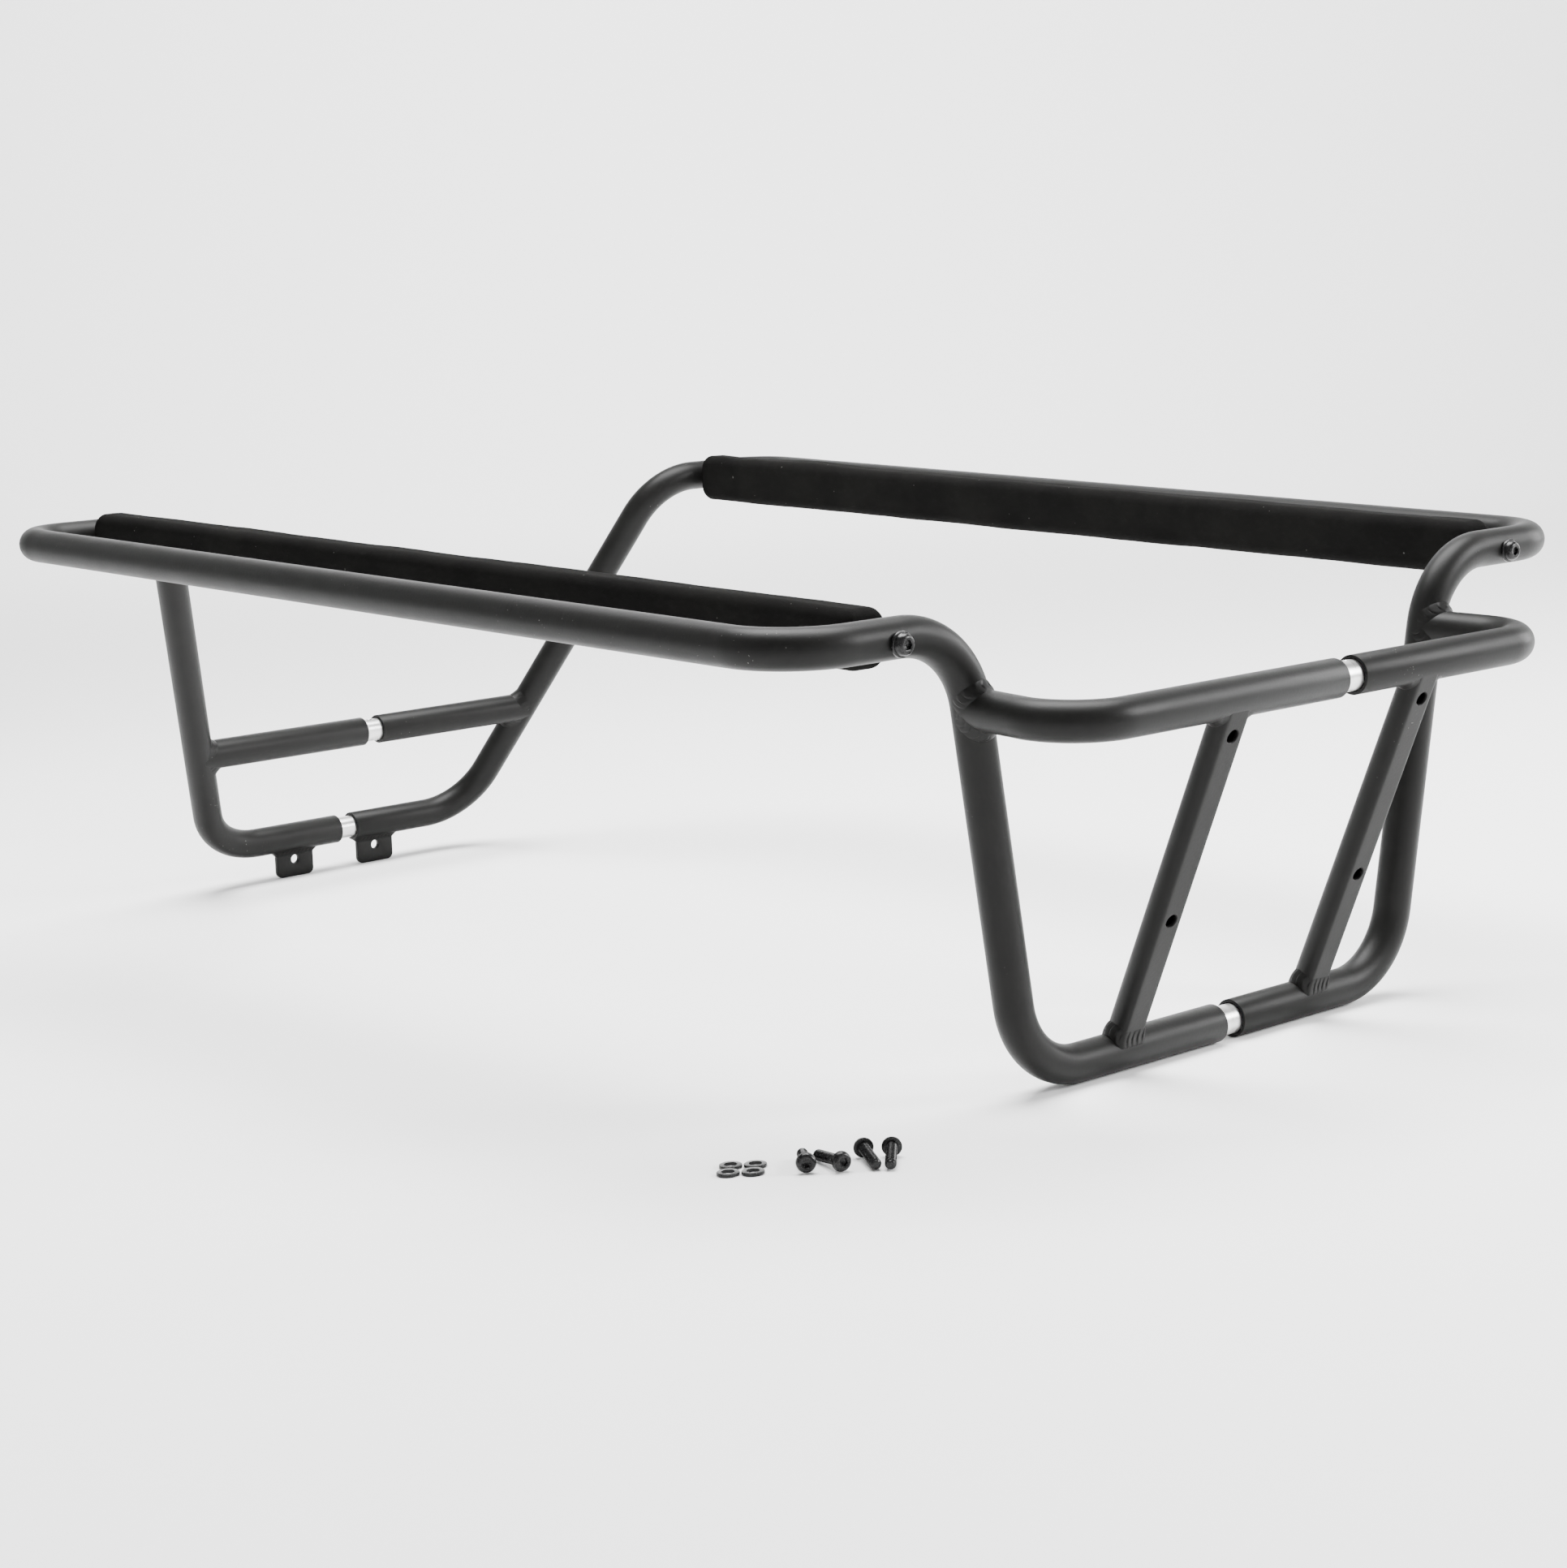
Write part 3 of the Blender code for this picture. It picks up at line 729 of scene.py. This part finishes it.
def coped_pipe(points, spine):
    """A tube along points whose first end is shaped to the tube on the spine and runs just into its skin."""
    mesh = pipe(points)
    heading = -path_frames(points)[0][0]
    first = points[0]
    back = first - heading * COPE_BACK
    ends = []
    starts = []
    for vertex in mesh.vertices:
        offset = vertex.co - first
        if abs(offset.dot(heading)) < COPE_WINDOW and offset.length < TUBE_R * COPE_MARGIN:
            ends.append(vertex)
            starts.append(back + offset - heading * offset.dot(heading))
    for vertex, place in zip(ends, meet(starts, heading, spine, TUBE_R - COPE_BITE, COPE_REACH)):
        vertex.co = Vector(place)
    return mesh


FLAT_SOFTNESS = 0.0004
FLAT_FINENESS = 4


def d_outline(radius, flat, count):
    """Evenly spread points and normals of a circle with one flat side towards +u and softened edges."""
    fine = FLAT_FINENESS * count
    raw = []
    for i in range(fine):
        angle = 2 * math.pi * i / fine
        reach = radius
        # elsewhere the flat is too far off to matter
        if math.cos(angle) > 0.2:
            cut = flat / math.cos(angle)
            both = math.exp(-radius / FLAT_SOFTNESS) + math.exp(-cut / FLAT_SOFTNESS)
            reach = -FLAT_SOFTNESS * math.log(both)
        raw.append(Vector((reach * math.cos(angle), reach * math.sin(angle))))
    lengths = [0.0]
    for before, after in zip(raw, raw[1:] + raw[:1]):
        lengths.append(lengths[-1] + (after - before).length)
    points = []
    index = 0
    for i in range(count):
        target = lengths[-1] * i / count
        while lengths[index + 1] < target:
            index += 1
        share = (target - lengths[index]) / (lengths[index + 1] - lengths[index])
        points.append(raw[index].lerp(raw[(index + 1) % len(raw)], share))
    normals = []
    for i in range(count):
        run = points[(i + 1) % count] - points[i - 1]
        normals.append(Vector((run.y, -run.x)).normalized())
    return points, normals


def drill(centre, out, radius, reach):
    """A cutter along the axis out, reach deep, with a small chamfer where it leaves the surface at centre."""
    out = out.normalized()
    side = out.orthogonal().normalized()
    up = out.cross(side)
    profile = ((-reach, radius), (-HOLE_CHAMFER, radius), (0.0, radius + HOLE_CHAMFER),
               (reach, radius + HOLE_CHAMFER + reach))
    rings = [[centre + out * along + side * u + up * v for u, v in circle(size, HOLE_SIDES)]
             for along, size in profile]
    return skin(rings)


# ---------------------------------------------------------------- hardware

def hexagon_ring(x, size, angles):
    """A hexagon of points about X, size being the distance to its flats."""
    points = []
    half = math.radians(30)
    for angle in angles:
        turned = (angle + half) % math.radians(60) - half
        reach = size / math.cos(turned)
        points.append(Vector((x, reach * math.cos(angle), reach * math.sin(angle))))
    return points


# rings to a turn of thread, and the plain neck left below the head
THREAD_RINGS = 8
THREAD_END = 0.0012
HEAD_DOME = 9
SOCKET_DEPTH = 0.0020


def bolt_mesh(length, head_r, head_h, socket):
    """A button-head bolt with a hexagon socket and a rolled thread; head towards +X, its seat at x = 0."""
    angles = [2 * math.pi * i / BOLT_SIDES for i in range(BOLT_SIDES)]

    def ring(x, radius):
        return [Vector((x, radius * math.cos(a), radius * math.sin(a))) for a in angles]

    rings = [ring(-length, 0.62 * BOLT_R), ring(0.05 * BOLT_R - length, 0.70 * BOLT_R)]
    step = THREAD_PITCH / THREAD_RINGS
    for number in range(int((length - THREAD_END) / step)):
        x = 0.25 * BOLT_R - length + number * step
        # the thread starts narrow and reaches full size within a turn
        fade = min(1.0, number * step / THREAD_PITCH + 0.2)
        points = []
        for angle in angles:
            share = (x / THREAD_PITCH - angle / (2 * math.pi)) % 1.0
            groove = abs(2 * share - 1)
            depth = THREAD_DEPTH * min(1.0, max(0.0, 1.25 * groove - 0.12))
            radius = (BOLT_R - depth) * (0.86 + 0.14 * fade)
            points.append(Vector((x, radius * math.cos(angle), radius * math.sin(angle))))
        rings.append(points)
    # neck, seat and the head's short upright rim
    for x, radius in ((-0.0005, 0.93 * BOLT_R), (0.0, BOLT_R), (0.0, head_r - 0.0003), (0.00015, head_r),
                      (0.0006, head_r)):
        rings.append(ring(x, radius))
    for number in range(HEAD_DOME + 1):
        share = number / HEAD_DOME
        x = 0.0008 + (head_h - 0.0008) * math.sin(share * math.pi / 2)
        radius = head_r * 0.62 + head_r * 0.36 * math.cos(share * math.pi / 2) ** 1.15
        rings.append(ring(x, radius))
    rings.append(ring(head_h, 0.58 * head_r))
    for drop, size in ((0.00025, 1.04 * socket), (0.0004, socket), (SOCKET_DEPTH, socket)):
        rings.append(hexagon_ring(head_h - drop, size, angles))
    # the drill point below the socket
    rings.append(ring(head_h - 0.0023, 0.0011))
    rings.append(ring(head_h - 0.0026, 0.0002))
    return skin(rings)


def washer_mesh(outer):
    """A stamped washer about X from 0 to its thickness, each face with its own edge rounding."""
    inner = WASHER_HOLE_R
    thick = WASHER_THICK
    profile = ((0.0, inner + 0.0002), (0.0, outer - 0.0003), (0.0001, outer - 0.0001), (0.0003, outer),
               (thick - 0.0004, outer), (thick - 0.00013, outer - 0.00012), (thick, outer - 0.0004),
               (thick, inner + 0.0003), (thick - 0.0003, inner), (0.0002, inner))
    rings = [[Vector((x, u, v)) for u, v in circle(radius)] for x, radius in profile]
    return skin(rings, loop=True)


# ---------------------------------------------------------------- one half

def build_tubes(side):
    name = SIDE_NAMES[side]
    body = BODIES[side]
    path = main_path(side)
    spine = spine_of(path)
    add_piece("main_tube_skin_" + name, pipe(path), POWDER, body,
              [part + name for part in ("end_a_tube_", "rail_tube_", "end_b_tube_")])

    bumper = bumper_path(side)
    for label, kind, branch in (("bumper_tube", "bumper", bumper), ("mid_crossbar", "mid", mid_path(side))):
        add_piece("%s_skin_%s" % (label, name), coped_pipe(branch, spine), POWDER, body,
                  ["%s_%s" % (label, name)])
        heading = (branch[0] - branch[1]).normalized()
        outline, normals = round_outline(branch[0], heading)
        add_weld("weld_%s_%s" % (kind, name), kind, side, outline, normals, heading, spine)
    return spine, spine_of(bumper)


def build_strut(side, main_spine, bumper_spine):
    name = SIDE_NAMES[side]
    body = BODIES[side]
    up, out, across = strut_axes()
    foot = Vector((0, side * STRUT_Y, 0))
    head = Vector((BUMPER_X + STRUT_HEAD_OUT, side * STRUT_Y, BUMPER_Z))
    middle = (foot + head) / 2
    skins = []
    for radius, flat in ((STRUT_R, STRUT_FLAT), (STRUT_R - STRUT_WALL, STRUT_FLAT - STRUT_WALL)):
        points, _ = d_outline(radius, flat, STRUT_SIDES)
        around = [middle + out * point.x + across * point.y for point in points]
        for heading, spine in ((-up, main_spine), (up, bumper_spine)):
            end = meet(around, heading, spine, TUBE_R - COPE_BITE, STRUT_REACH)
            skins.append([Vector(point) for point in end])
    outer_low, outer_high, inner_low, inner_high = skins
    cutters = [drill(foot + up * distance + out * STRUT_FLAT, out, STRUT_HOLE_R, STRUT_DRILL)
               for distance in STRUT_HOLES]
    mesh = cut_mesh(skin([outer_low, outer_high, inner_high, inner_low], loop=True), cutters)
    add_piece("strut_skin_" + name, mesh, POWDER, body, ["strut_" + name], sharp=30)

    points, flat_normals = d_outline(STRUT_R, STRUT_FLAT, BEAD_RINGS)
    normals = [out * normal.x + across * normal.y for normal in flat_normals]
    for kind, end, heading, spine in (("foot", foot, -up, main_spine), ("head", head, up, bumper_spine)):
        start = end - heading * WELD_BACK
        outline = [start + out * point.x + across * point.y for point in points]
        add_weld("weld_strut_%s_%s" % (kind, name), kind, side, outline, normals, heading, spine)


TAB_CORNER_STEPS = 8


def tab_outline(side, bottom):
    """The tab's plate outline in Y and Z, its top within the base bar's wall."""
    half = TAB_WIDTH / 2
    top = BASE_A_Z - TUBE_R + TAB_BITE
    outline = [(-half, top), (half, top)]
    for sign in (1, -1):
        for step in range(TAB_CORNER_STEPS + 1):
            angle = math.radians(90) * step / TAB_CORNER_STEPS
            if sign < 0:
                angle = math.radians(90) - angle
            outline.append((sign * (half - TAB_CORNER + TAB_CORNER * math.cos(angle)),
                            bottom + TAB_CORNER - TAB_CORNER * math.sin(angle)))
    return [(y + TAB_Y[side], z) for y, z in outline]


def build_tab(side, spine):
    name = SIDE_NAMES[side]
    bottom = BASE_A_Z - TUBE_R - TAB_DROP
    outline = tab_outline(side, bottom)
    faces = (-TAB_THICK / 2, TAB_THICK / 2)
    plate = skin([[Vector((BASE_A_X + x, y, z)) for y, z in outline] for x in faces])
    hole = [[Vector((BASE_A_X + x, TAB_Y[side] + u, bottom + TAB_HOLE_UP + v))
             for u, v in circle(TAB_HOLE_R, HOLE_SIDES)] for x in (-TAB_THICK, TAB_THICK)]
    mesh = cut_mesh(plate, [skin(hole)], bevel=PLATE_BEVEL)
    add_piece("mount_tab_skin_" + name, mesh, POWDER, BODIES[side], ["mount_tab_" + name])

    section = (TAB_THICK / 2, TAB_WIDTH / 2, TAB_SECTION_EDGE)
    perimeter = rectangle_perimeter(*section)
    points = []
    normals = []
    for i in range(BEAD_RINGS):
        (u, v), (normal_u, normal_v) = walk_rectangle(*section, perimeter * i / BEAD_RINGS)
        points.append(Vector((BASE_A_X + u, TAB_Y[side] + v, bottom + TAB_WELD_UP)))
        normals.append(Vector((normal_u, normal_v, 0.0)))
    add_weld("weld_tab_" + name, "tab", side, points, normals, Vector((0, 0, 1)), spine)


PAD_SIDES = 64
PAD_STEP = 0.004
PAD_END_STEPS = 9


def pad_section(width, height, edge):
    """Points evenly spread round a rounded rectangle."""
    half_u = width / 2
    half_v = height / 2
    perimeter = rectangle_perimeter(half_u, half_v, edge)
    return [walk_rectangle(half_u, half_v, edge, perimeter * i / PAD_SIDES)[0] for i in range(PAD_SIDES)]


def swell(share, where, spread, height):
    """The height of a smooth bump centred at where."""
    return height * math.exp(-((share - where) / spread) ** 2)


def pad_shape(side, share, u, v):
    """How far the foam's skin stands off its plain section across and up, in metres."""
    place = Vector((share * PAD_RATE_ALONG, u * PAD_RATE_ROUND, v * PAD_RATE_ROUND + side * PAD_SIDE_SHIFT))
    wave = noise.noise(place) * PAD_WAVE + noise.noise(place * PAD_RIPPLE_RATE) * PAD_RIPPLE
    lift = wave
    if side > 0:
        high = max(0.0, 2 * v / PAD_HEIGHT_A)
        lift += swell(share, *PAD_HUMP) * high
        lift += swell(share, *PAD_DIP) * high
        low = max(0.0, -2 * v / PAD_HEIGHT_B)
        lift += swell(share, *PAD_TUCK) * low
    return wave, lift


def build_pad(side):
    """A foam sleeve on its core bar, with soft ends, slow waves and a few handling marks."""
    name = SIDE_NAMES[side]
    body = BODIES[side]
    start, along, span = pad_axis(side)
    across = Vector((0, 0, 1)).cross(along)
    stations = []
    for step in range(PAD_END_STEPS + 1):
        angle = math.radians(90) * step / PAD_END_STEPS
        stations.append((PAD_END * (1 - math.cos(angle)), PAD_END * (1 - math.sin(angle))))
    length = span - 2 * PAD_INSET
    count = int((length - 2 * PAD_END) / PAD_STEP)
    places = list(stations)
    places += [(between(PAD_END, length - PAD_END, i / count), 0.0) for i in range(1, count)]
    places += [(length - run, trim) for run, trim in reversed(stations)]
    rings = []
    for run, trim in places:
        centre = start + along * (PAD_INSET + run)
        share = run / length
        ring = []
        height = between(PAD_HEIGHT_A, PAD_HEIGHT_B, share)
        section = pad_section(PAD_WIDTH - PAD_TAPER_WIDTH * trim, height - PAD_TAPER_HEIGHT * trim,
                              PAD_EDGE - PAD_TAPER_EDGE * trim)
        for u, v in section:
            wave, lift = pad_shape(side, share, u, v)
            size = math.hypot(u, v)
            ring.append(centre + across * (u + u / size * wave) + Vector((0, 0, v + v / size * lift)))
        rings.append(ring)
    bore = []
    pocket = CORE_INSET - PAD_INSET
    wide = SADDLE_R + CLEARANCE
    narrow = CORE_R + CLEARANCE
    for run, size in ((length - BORE_SINK, wide), (length - pocket, wide), (length - pocket, narrow),
                      (pocket, narrow), (pocket, wide), (BORE_SINK, wide)):
        centre = start + along * (PAD_INSET + run)
        bore.append([centre + across * u + Vector((0, 0, v)) for u, v in circle(size, PAD_SIDES)])
    mesh = skin(rings + bore, loop=True)
    pad = add_piece("foam_pad_" + name, mesh, FOAM, body, ["pad_" + name], sharp=60)

    core = [start + along * CORE_INSET, start + along * (span - CORE_INSET)]
    core_mesh = pipe(core, CORE_R, CORE_R - WASHER_HOLE_R)
    add_piece("core_bar_" + name, core_mesh, BARE, body, ["pad_core_" + name])


def build_pad_end(side, share, spine):
    """Saddle, washer and bolt at one end of a pad, on the pad's own axis."""
    place = "%s_%s" % (SIDE_NAMES[side], "ab"[share])
    body = BODIES[side]
    outward = 1 if share else -1
    centre = pad_point(share, side)
    _, along, _ = pad_axis(side)
    out = along * outward
    across = Vector((0, 0, 1)).cross(out)
    face = TUBE_R + CLEARANCE
    far = centre - out * (face + SADDLE_THICK)

    def ring(middle, radius):
        return [middle + across * u + Vector((0, 0, v)) for u, v in circle(radius)]

    def against_tube(start):
        return [Vector(point) for point in meet(start, out, spine, TUBE_R + SADDLE_GAP, face + SADDLE_THICK)]

    inner = ring(far, WASHER_HOLE_R)
    mesh = skin([against_tube(ring(far, SADDLE_R)), ring(far + out * SADDLE_CHAMFER, SADDLE_R),
                 ring(far, SADDLE_R - SADDLE_CHAMFER), inner, against_tube(inner)], loop=True)
    add_piece("saddle_" + place, mesh, BARE, body, ["pad_saddle_" + place])

    turn = Matrix.Rotation(math.atan2(out.y, out.x), 4, "Z")
    washer_place = FRAME @ Matrix.Translation(centre + out * face) @ turn
    add_piece("washer_" + place, washer_mesh(PAD_WASHER_R), STEEL, body,
              ["pad_washer_" + place], washer_place)
    # each bolt is turned differently about its own axis
    spin = Matrix.Rotation(math.radians(17 + 23 * share + 9 * side), 4, "X")
    bolt_place = FRAME @ Matrix.Translation(centre + out * (face + WASHER_THICK)) @ turn @ spin
    add_piece("bolt_" + place, bolt_mesh(**PAD_BOLT), STEEL, body,
              ["pad_bolt_" + place], bolt_place)


# ---------------------------------------------------------------- spigots and the loose kit

def build_spigot(node, centre, pin_hole):
    """A bare tube across a gap, with or without a small pin hole on its top."""
    centre = Vector(centre)
    reach = Vector((0, SPIGOT_LENGTH / 2, 0))
    mesh = pipe([centre - reach, centre, centre + reach], SPIGOT_R, SPIGOT_WALL)
    if pin_hole:
        top = Vector((0, 0, SPIGOT_R))
        mesh = cut_mesh(mesh, [drill(centre + top, Vector((0, 0, 1)), PIN_HOLE_R, PIN_DRILL)])
    add_piece(node + "_bar", mesh, BARE, "left_half", [node])


def build_loose_kit():
    """Bolts lie on the rim of their head and the tip of their shank; washers lie flat."""
    length = LOOSE_BOLT["length"]
    head_r = LOOSE_BOLT["head_r"]
    tilt = math.asin((head_r - BOLT_R) / length)
    for number, degrees in enumerate(LOOSE_BOLT_HEADINGS, start=1):
        node = "loose_bolt_%d" % number
        low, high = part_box(node)
        heading = math.radians(degrees + 180)
        towards = Vector((math.cos(heading), math.sin(heading), 0))
        middle = (low + high) / 2
        back = 0.5 * (length - LOOSE_BOLT["head_h"] * math.cos(tilt))
        seat = Vector((middle.x, middle.y, 0)) + towards * back * math.cos(tilt)
        seat.z = low.z + head_r * math.cos(tilt)
        turn = Matrix.Rotation(heading, 4, "Z") @ Matrix.Rotation(-tilt, 4, "Y")
        spin = Matrix.Rotation(math.radians(13 + 31 * number), 4, "X")
        add_piece("kit_bolt_%d" % number, bolt_mesh(**LOOSE_BOLT), STEEL, "left_half", [node],
                  Matrix.Translation(seat) @ turn @ spin)
    for number in range(1, 5):
        node = "loose_washer_%d" % number
        low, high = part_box(node)
        middle = (low + high) / 2
        lay = Matrix.Translation((middle.x, middle.y, low.z)) @ Matrix.Rotation(-math.pi / 2, 4, "Y")
        add_piece("kit_washer_%d" % number, washer_mesh(LOOSE_WASHER_R), STEEL, "left_half",
                  [node], lay)


# ---------------------------------------------------------------- stage, lights and camera

FLOOR_INNER_R = 1.5
FLOOR_R = 4.5
COVE_R = 2.5
COVE_STEPS = 16
WALL_TOP = 5.0
FLOOR_SIDES = 96
WORLD_STRENGTH = 0.20
AIM = (0.05, 0.0, 0.12)
# place, target, width, height and watts
LIGHTS = {
    "top_softbox": ((-0.2, 0.3, 2.6), AIM, 2.2, 1.6, 285),
    "right_softbox": ((1.9, 1.4, 1.10), AIM, 0.7, 0.9, 75),
    "far_softbox": ((0.9, 3.0, 0.9), AIM, 0.5, 1.4, 60),
    "wall_wash": ((-2.6, 2.2, 3.4), (-6.0, 5.0, 0.8), 2.5, 1.5, 440),
}
CAMERA_PLACE = Vector((1.5571, -1.2508, 0.4333))
CAMERA_FORWARD = Vector((-0.75838, 0.63210, -0.15908))
CAMERA_ROLL = math.radians(-3.09)
CAMERA_SENSOR = 36.0
CAMERA_LENS = 69.23
CAMERA_CLIP = (0.05, 60.0)


def build_stage():
    """A round pale floor that curves up into a low wall all round."""
    profile = [(FLOOR_INNER_R, 0.0), (FLOOR_R, 0.0)]
    for step in range(1, COVE_STEPS + 1):
        angle = math.radians(90) * step / COVE_STEPS
        profile.append((FLOOR_R + COVE_R * math.sin(angle), COVE_R * (1 - math.cos(angle))))
    profile.append((FLOOR_R + COVE_R, WALL_TOP))
    points = [(0.0, 0.0, 0.0)]
    for radius, height in profile:
        points += [(u, v, height) for u, v in circle(radius, FLOOR_SIDES)]
    faces = [(0, 1 + i, 1 + (i + 1) % FLOOR_SIDES) for i in range(FLOOR_SIDES)]
    for row in range(len(profile) - 1):
        low = 1 + row * FLOOR_SIDES
        high = low + FLOOR_SIDES
        for i in range(FLOOR_SIDES):
            j = (i + 1) % FLOOR_SIDES
            faces.append((low + i, high + i, high + j, low + j))
    mesh = bpy.data.meshes.new("studio_floor")
    mesh.from_pydata(points, [], faces)
    mesh.shade_smooth()
    mesh.materials.append(pale_floor())
    floor = bpy.data.objects.new("studio_floor", mesh)
    bpy.context.scene.collection.objects.link(floor)


def build_lights():
    world = bpy.data.worlds.new("studio")
    world.use_nodes = True
    background = world.node_tree.nodes["Background"]
    background.inputs["Color"].default_value = (1.0, 1.0, 1.0, 1.0)
    background.inputs["Strength"].default_value = WORLD_STRENGTH
    bpy.context.scene.world = world
    for name, (place, target, width, height, watts) in LIGHTS.items():
        light = bpy.data.lights.new(name, "AREA")
        light.shape = "RECTANGLE"
        light.size = width
        light.size_y = height
        light.energy = watts
        lamp = bpy.data.objects.new(name, light)
        lamp.location = place
        lamp.rotation_mode = "QUATERNION"
        lamp.rotation_quaternion = (Vector(target) - Vector(place)).to_track_quat("-Z", "Y")
        bpy.context.scene.collection.objects.link(lamp)


def build_camera():
    camera = bpy.data.objects.new("camera", bpy.data.cameras.new("camera"))
    forward = CAMERA_FORWARD.normalized()
    level = forward.cross(Vector((0, 0, 1))).normalized()
    right = level * math.cos(CAMERA_ROLL) + level.cross(forward) * math.sin(CAMERA_ROLL)
    up = right.cross(forward)
    turn = Matrix((right, up, -forward)).transposed().to_4x4()
    camera.matrix_world = Matrix.Translation(CAMERA_PLACE) @ turn
    camera.data.sensor_width = CAMERA_SENSOR
    camera.data.lens = CAMERA_LENS
    camera.data.clip_start, camera.data.clip_end = CAMERA_CLIP
    bpy.context.scene.collection.objects.link(camera)
    bpy.context.scene.camera = camera


for half_side in (-1, 1):
    main_line, bumper_line = build_tubes(half_side)
    build_strut(half_side, main_line, bumper_line)
    build_tab(half_side, main_line)
    build_pad(half_side)
    for end_share in (0, 1):
        build_pad_end(half_side, end_share, main_line)
build_spigot("spigot_base_a", (BASE_A_X, GAP_BASE_A_Y, BASE_A_Z), False)
build_spigot("spigot_mid", (MID_X, GAP_MID_Y, MID_Z), True)
build_spigot("spigot_base_b", (0, GAP_BASE_B_Y, 0), False)
build_spigot("spigot_bumper", (BUMPER_X, GAP_BUMPER_Y, BUMPER_Z), True)
build_loose_kit()
build_stage()
build_lights()
build_camera()
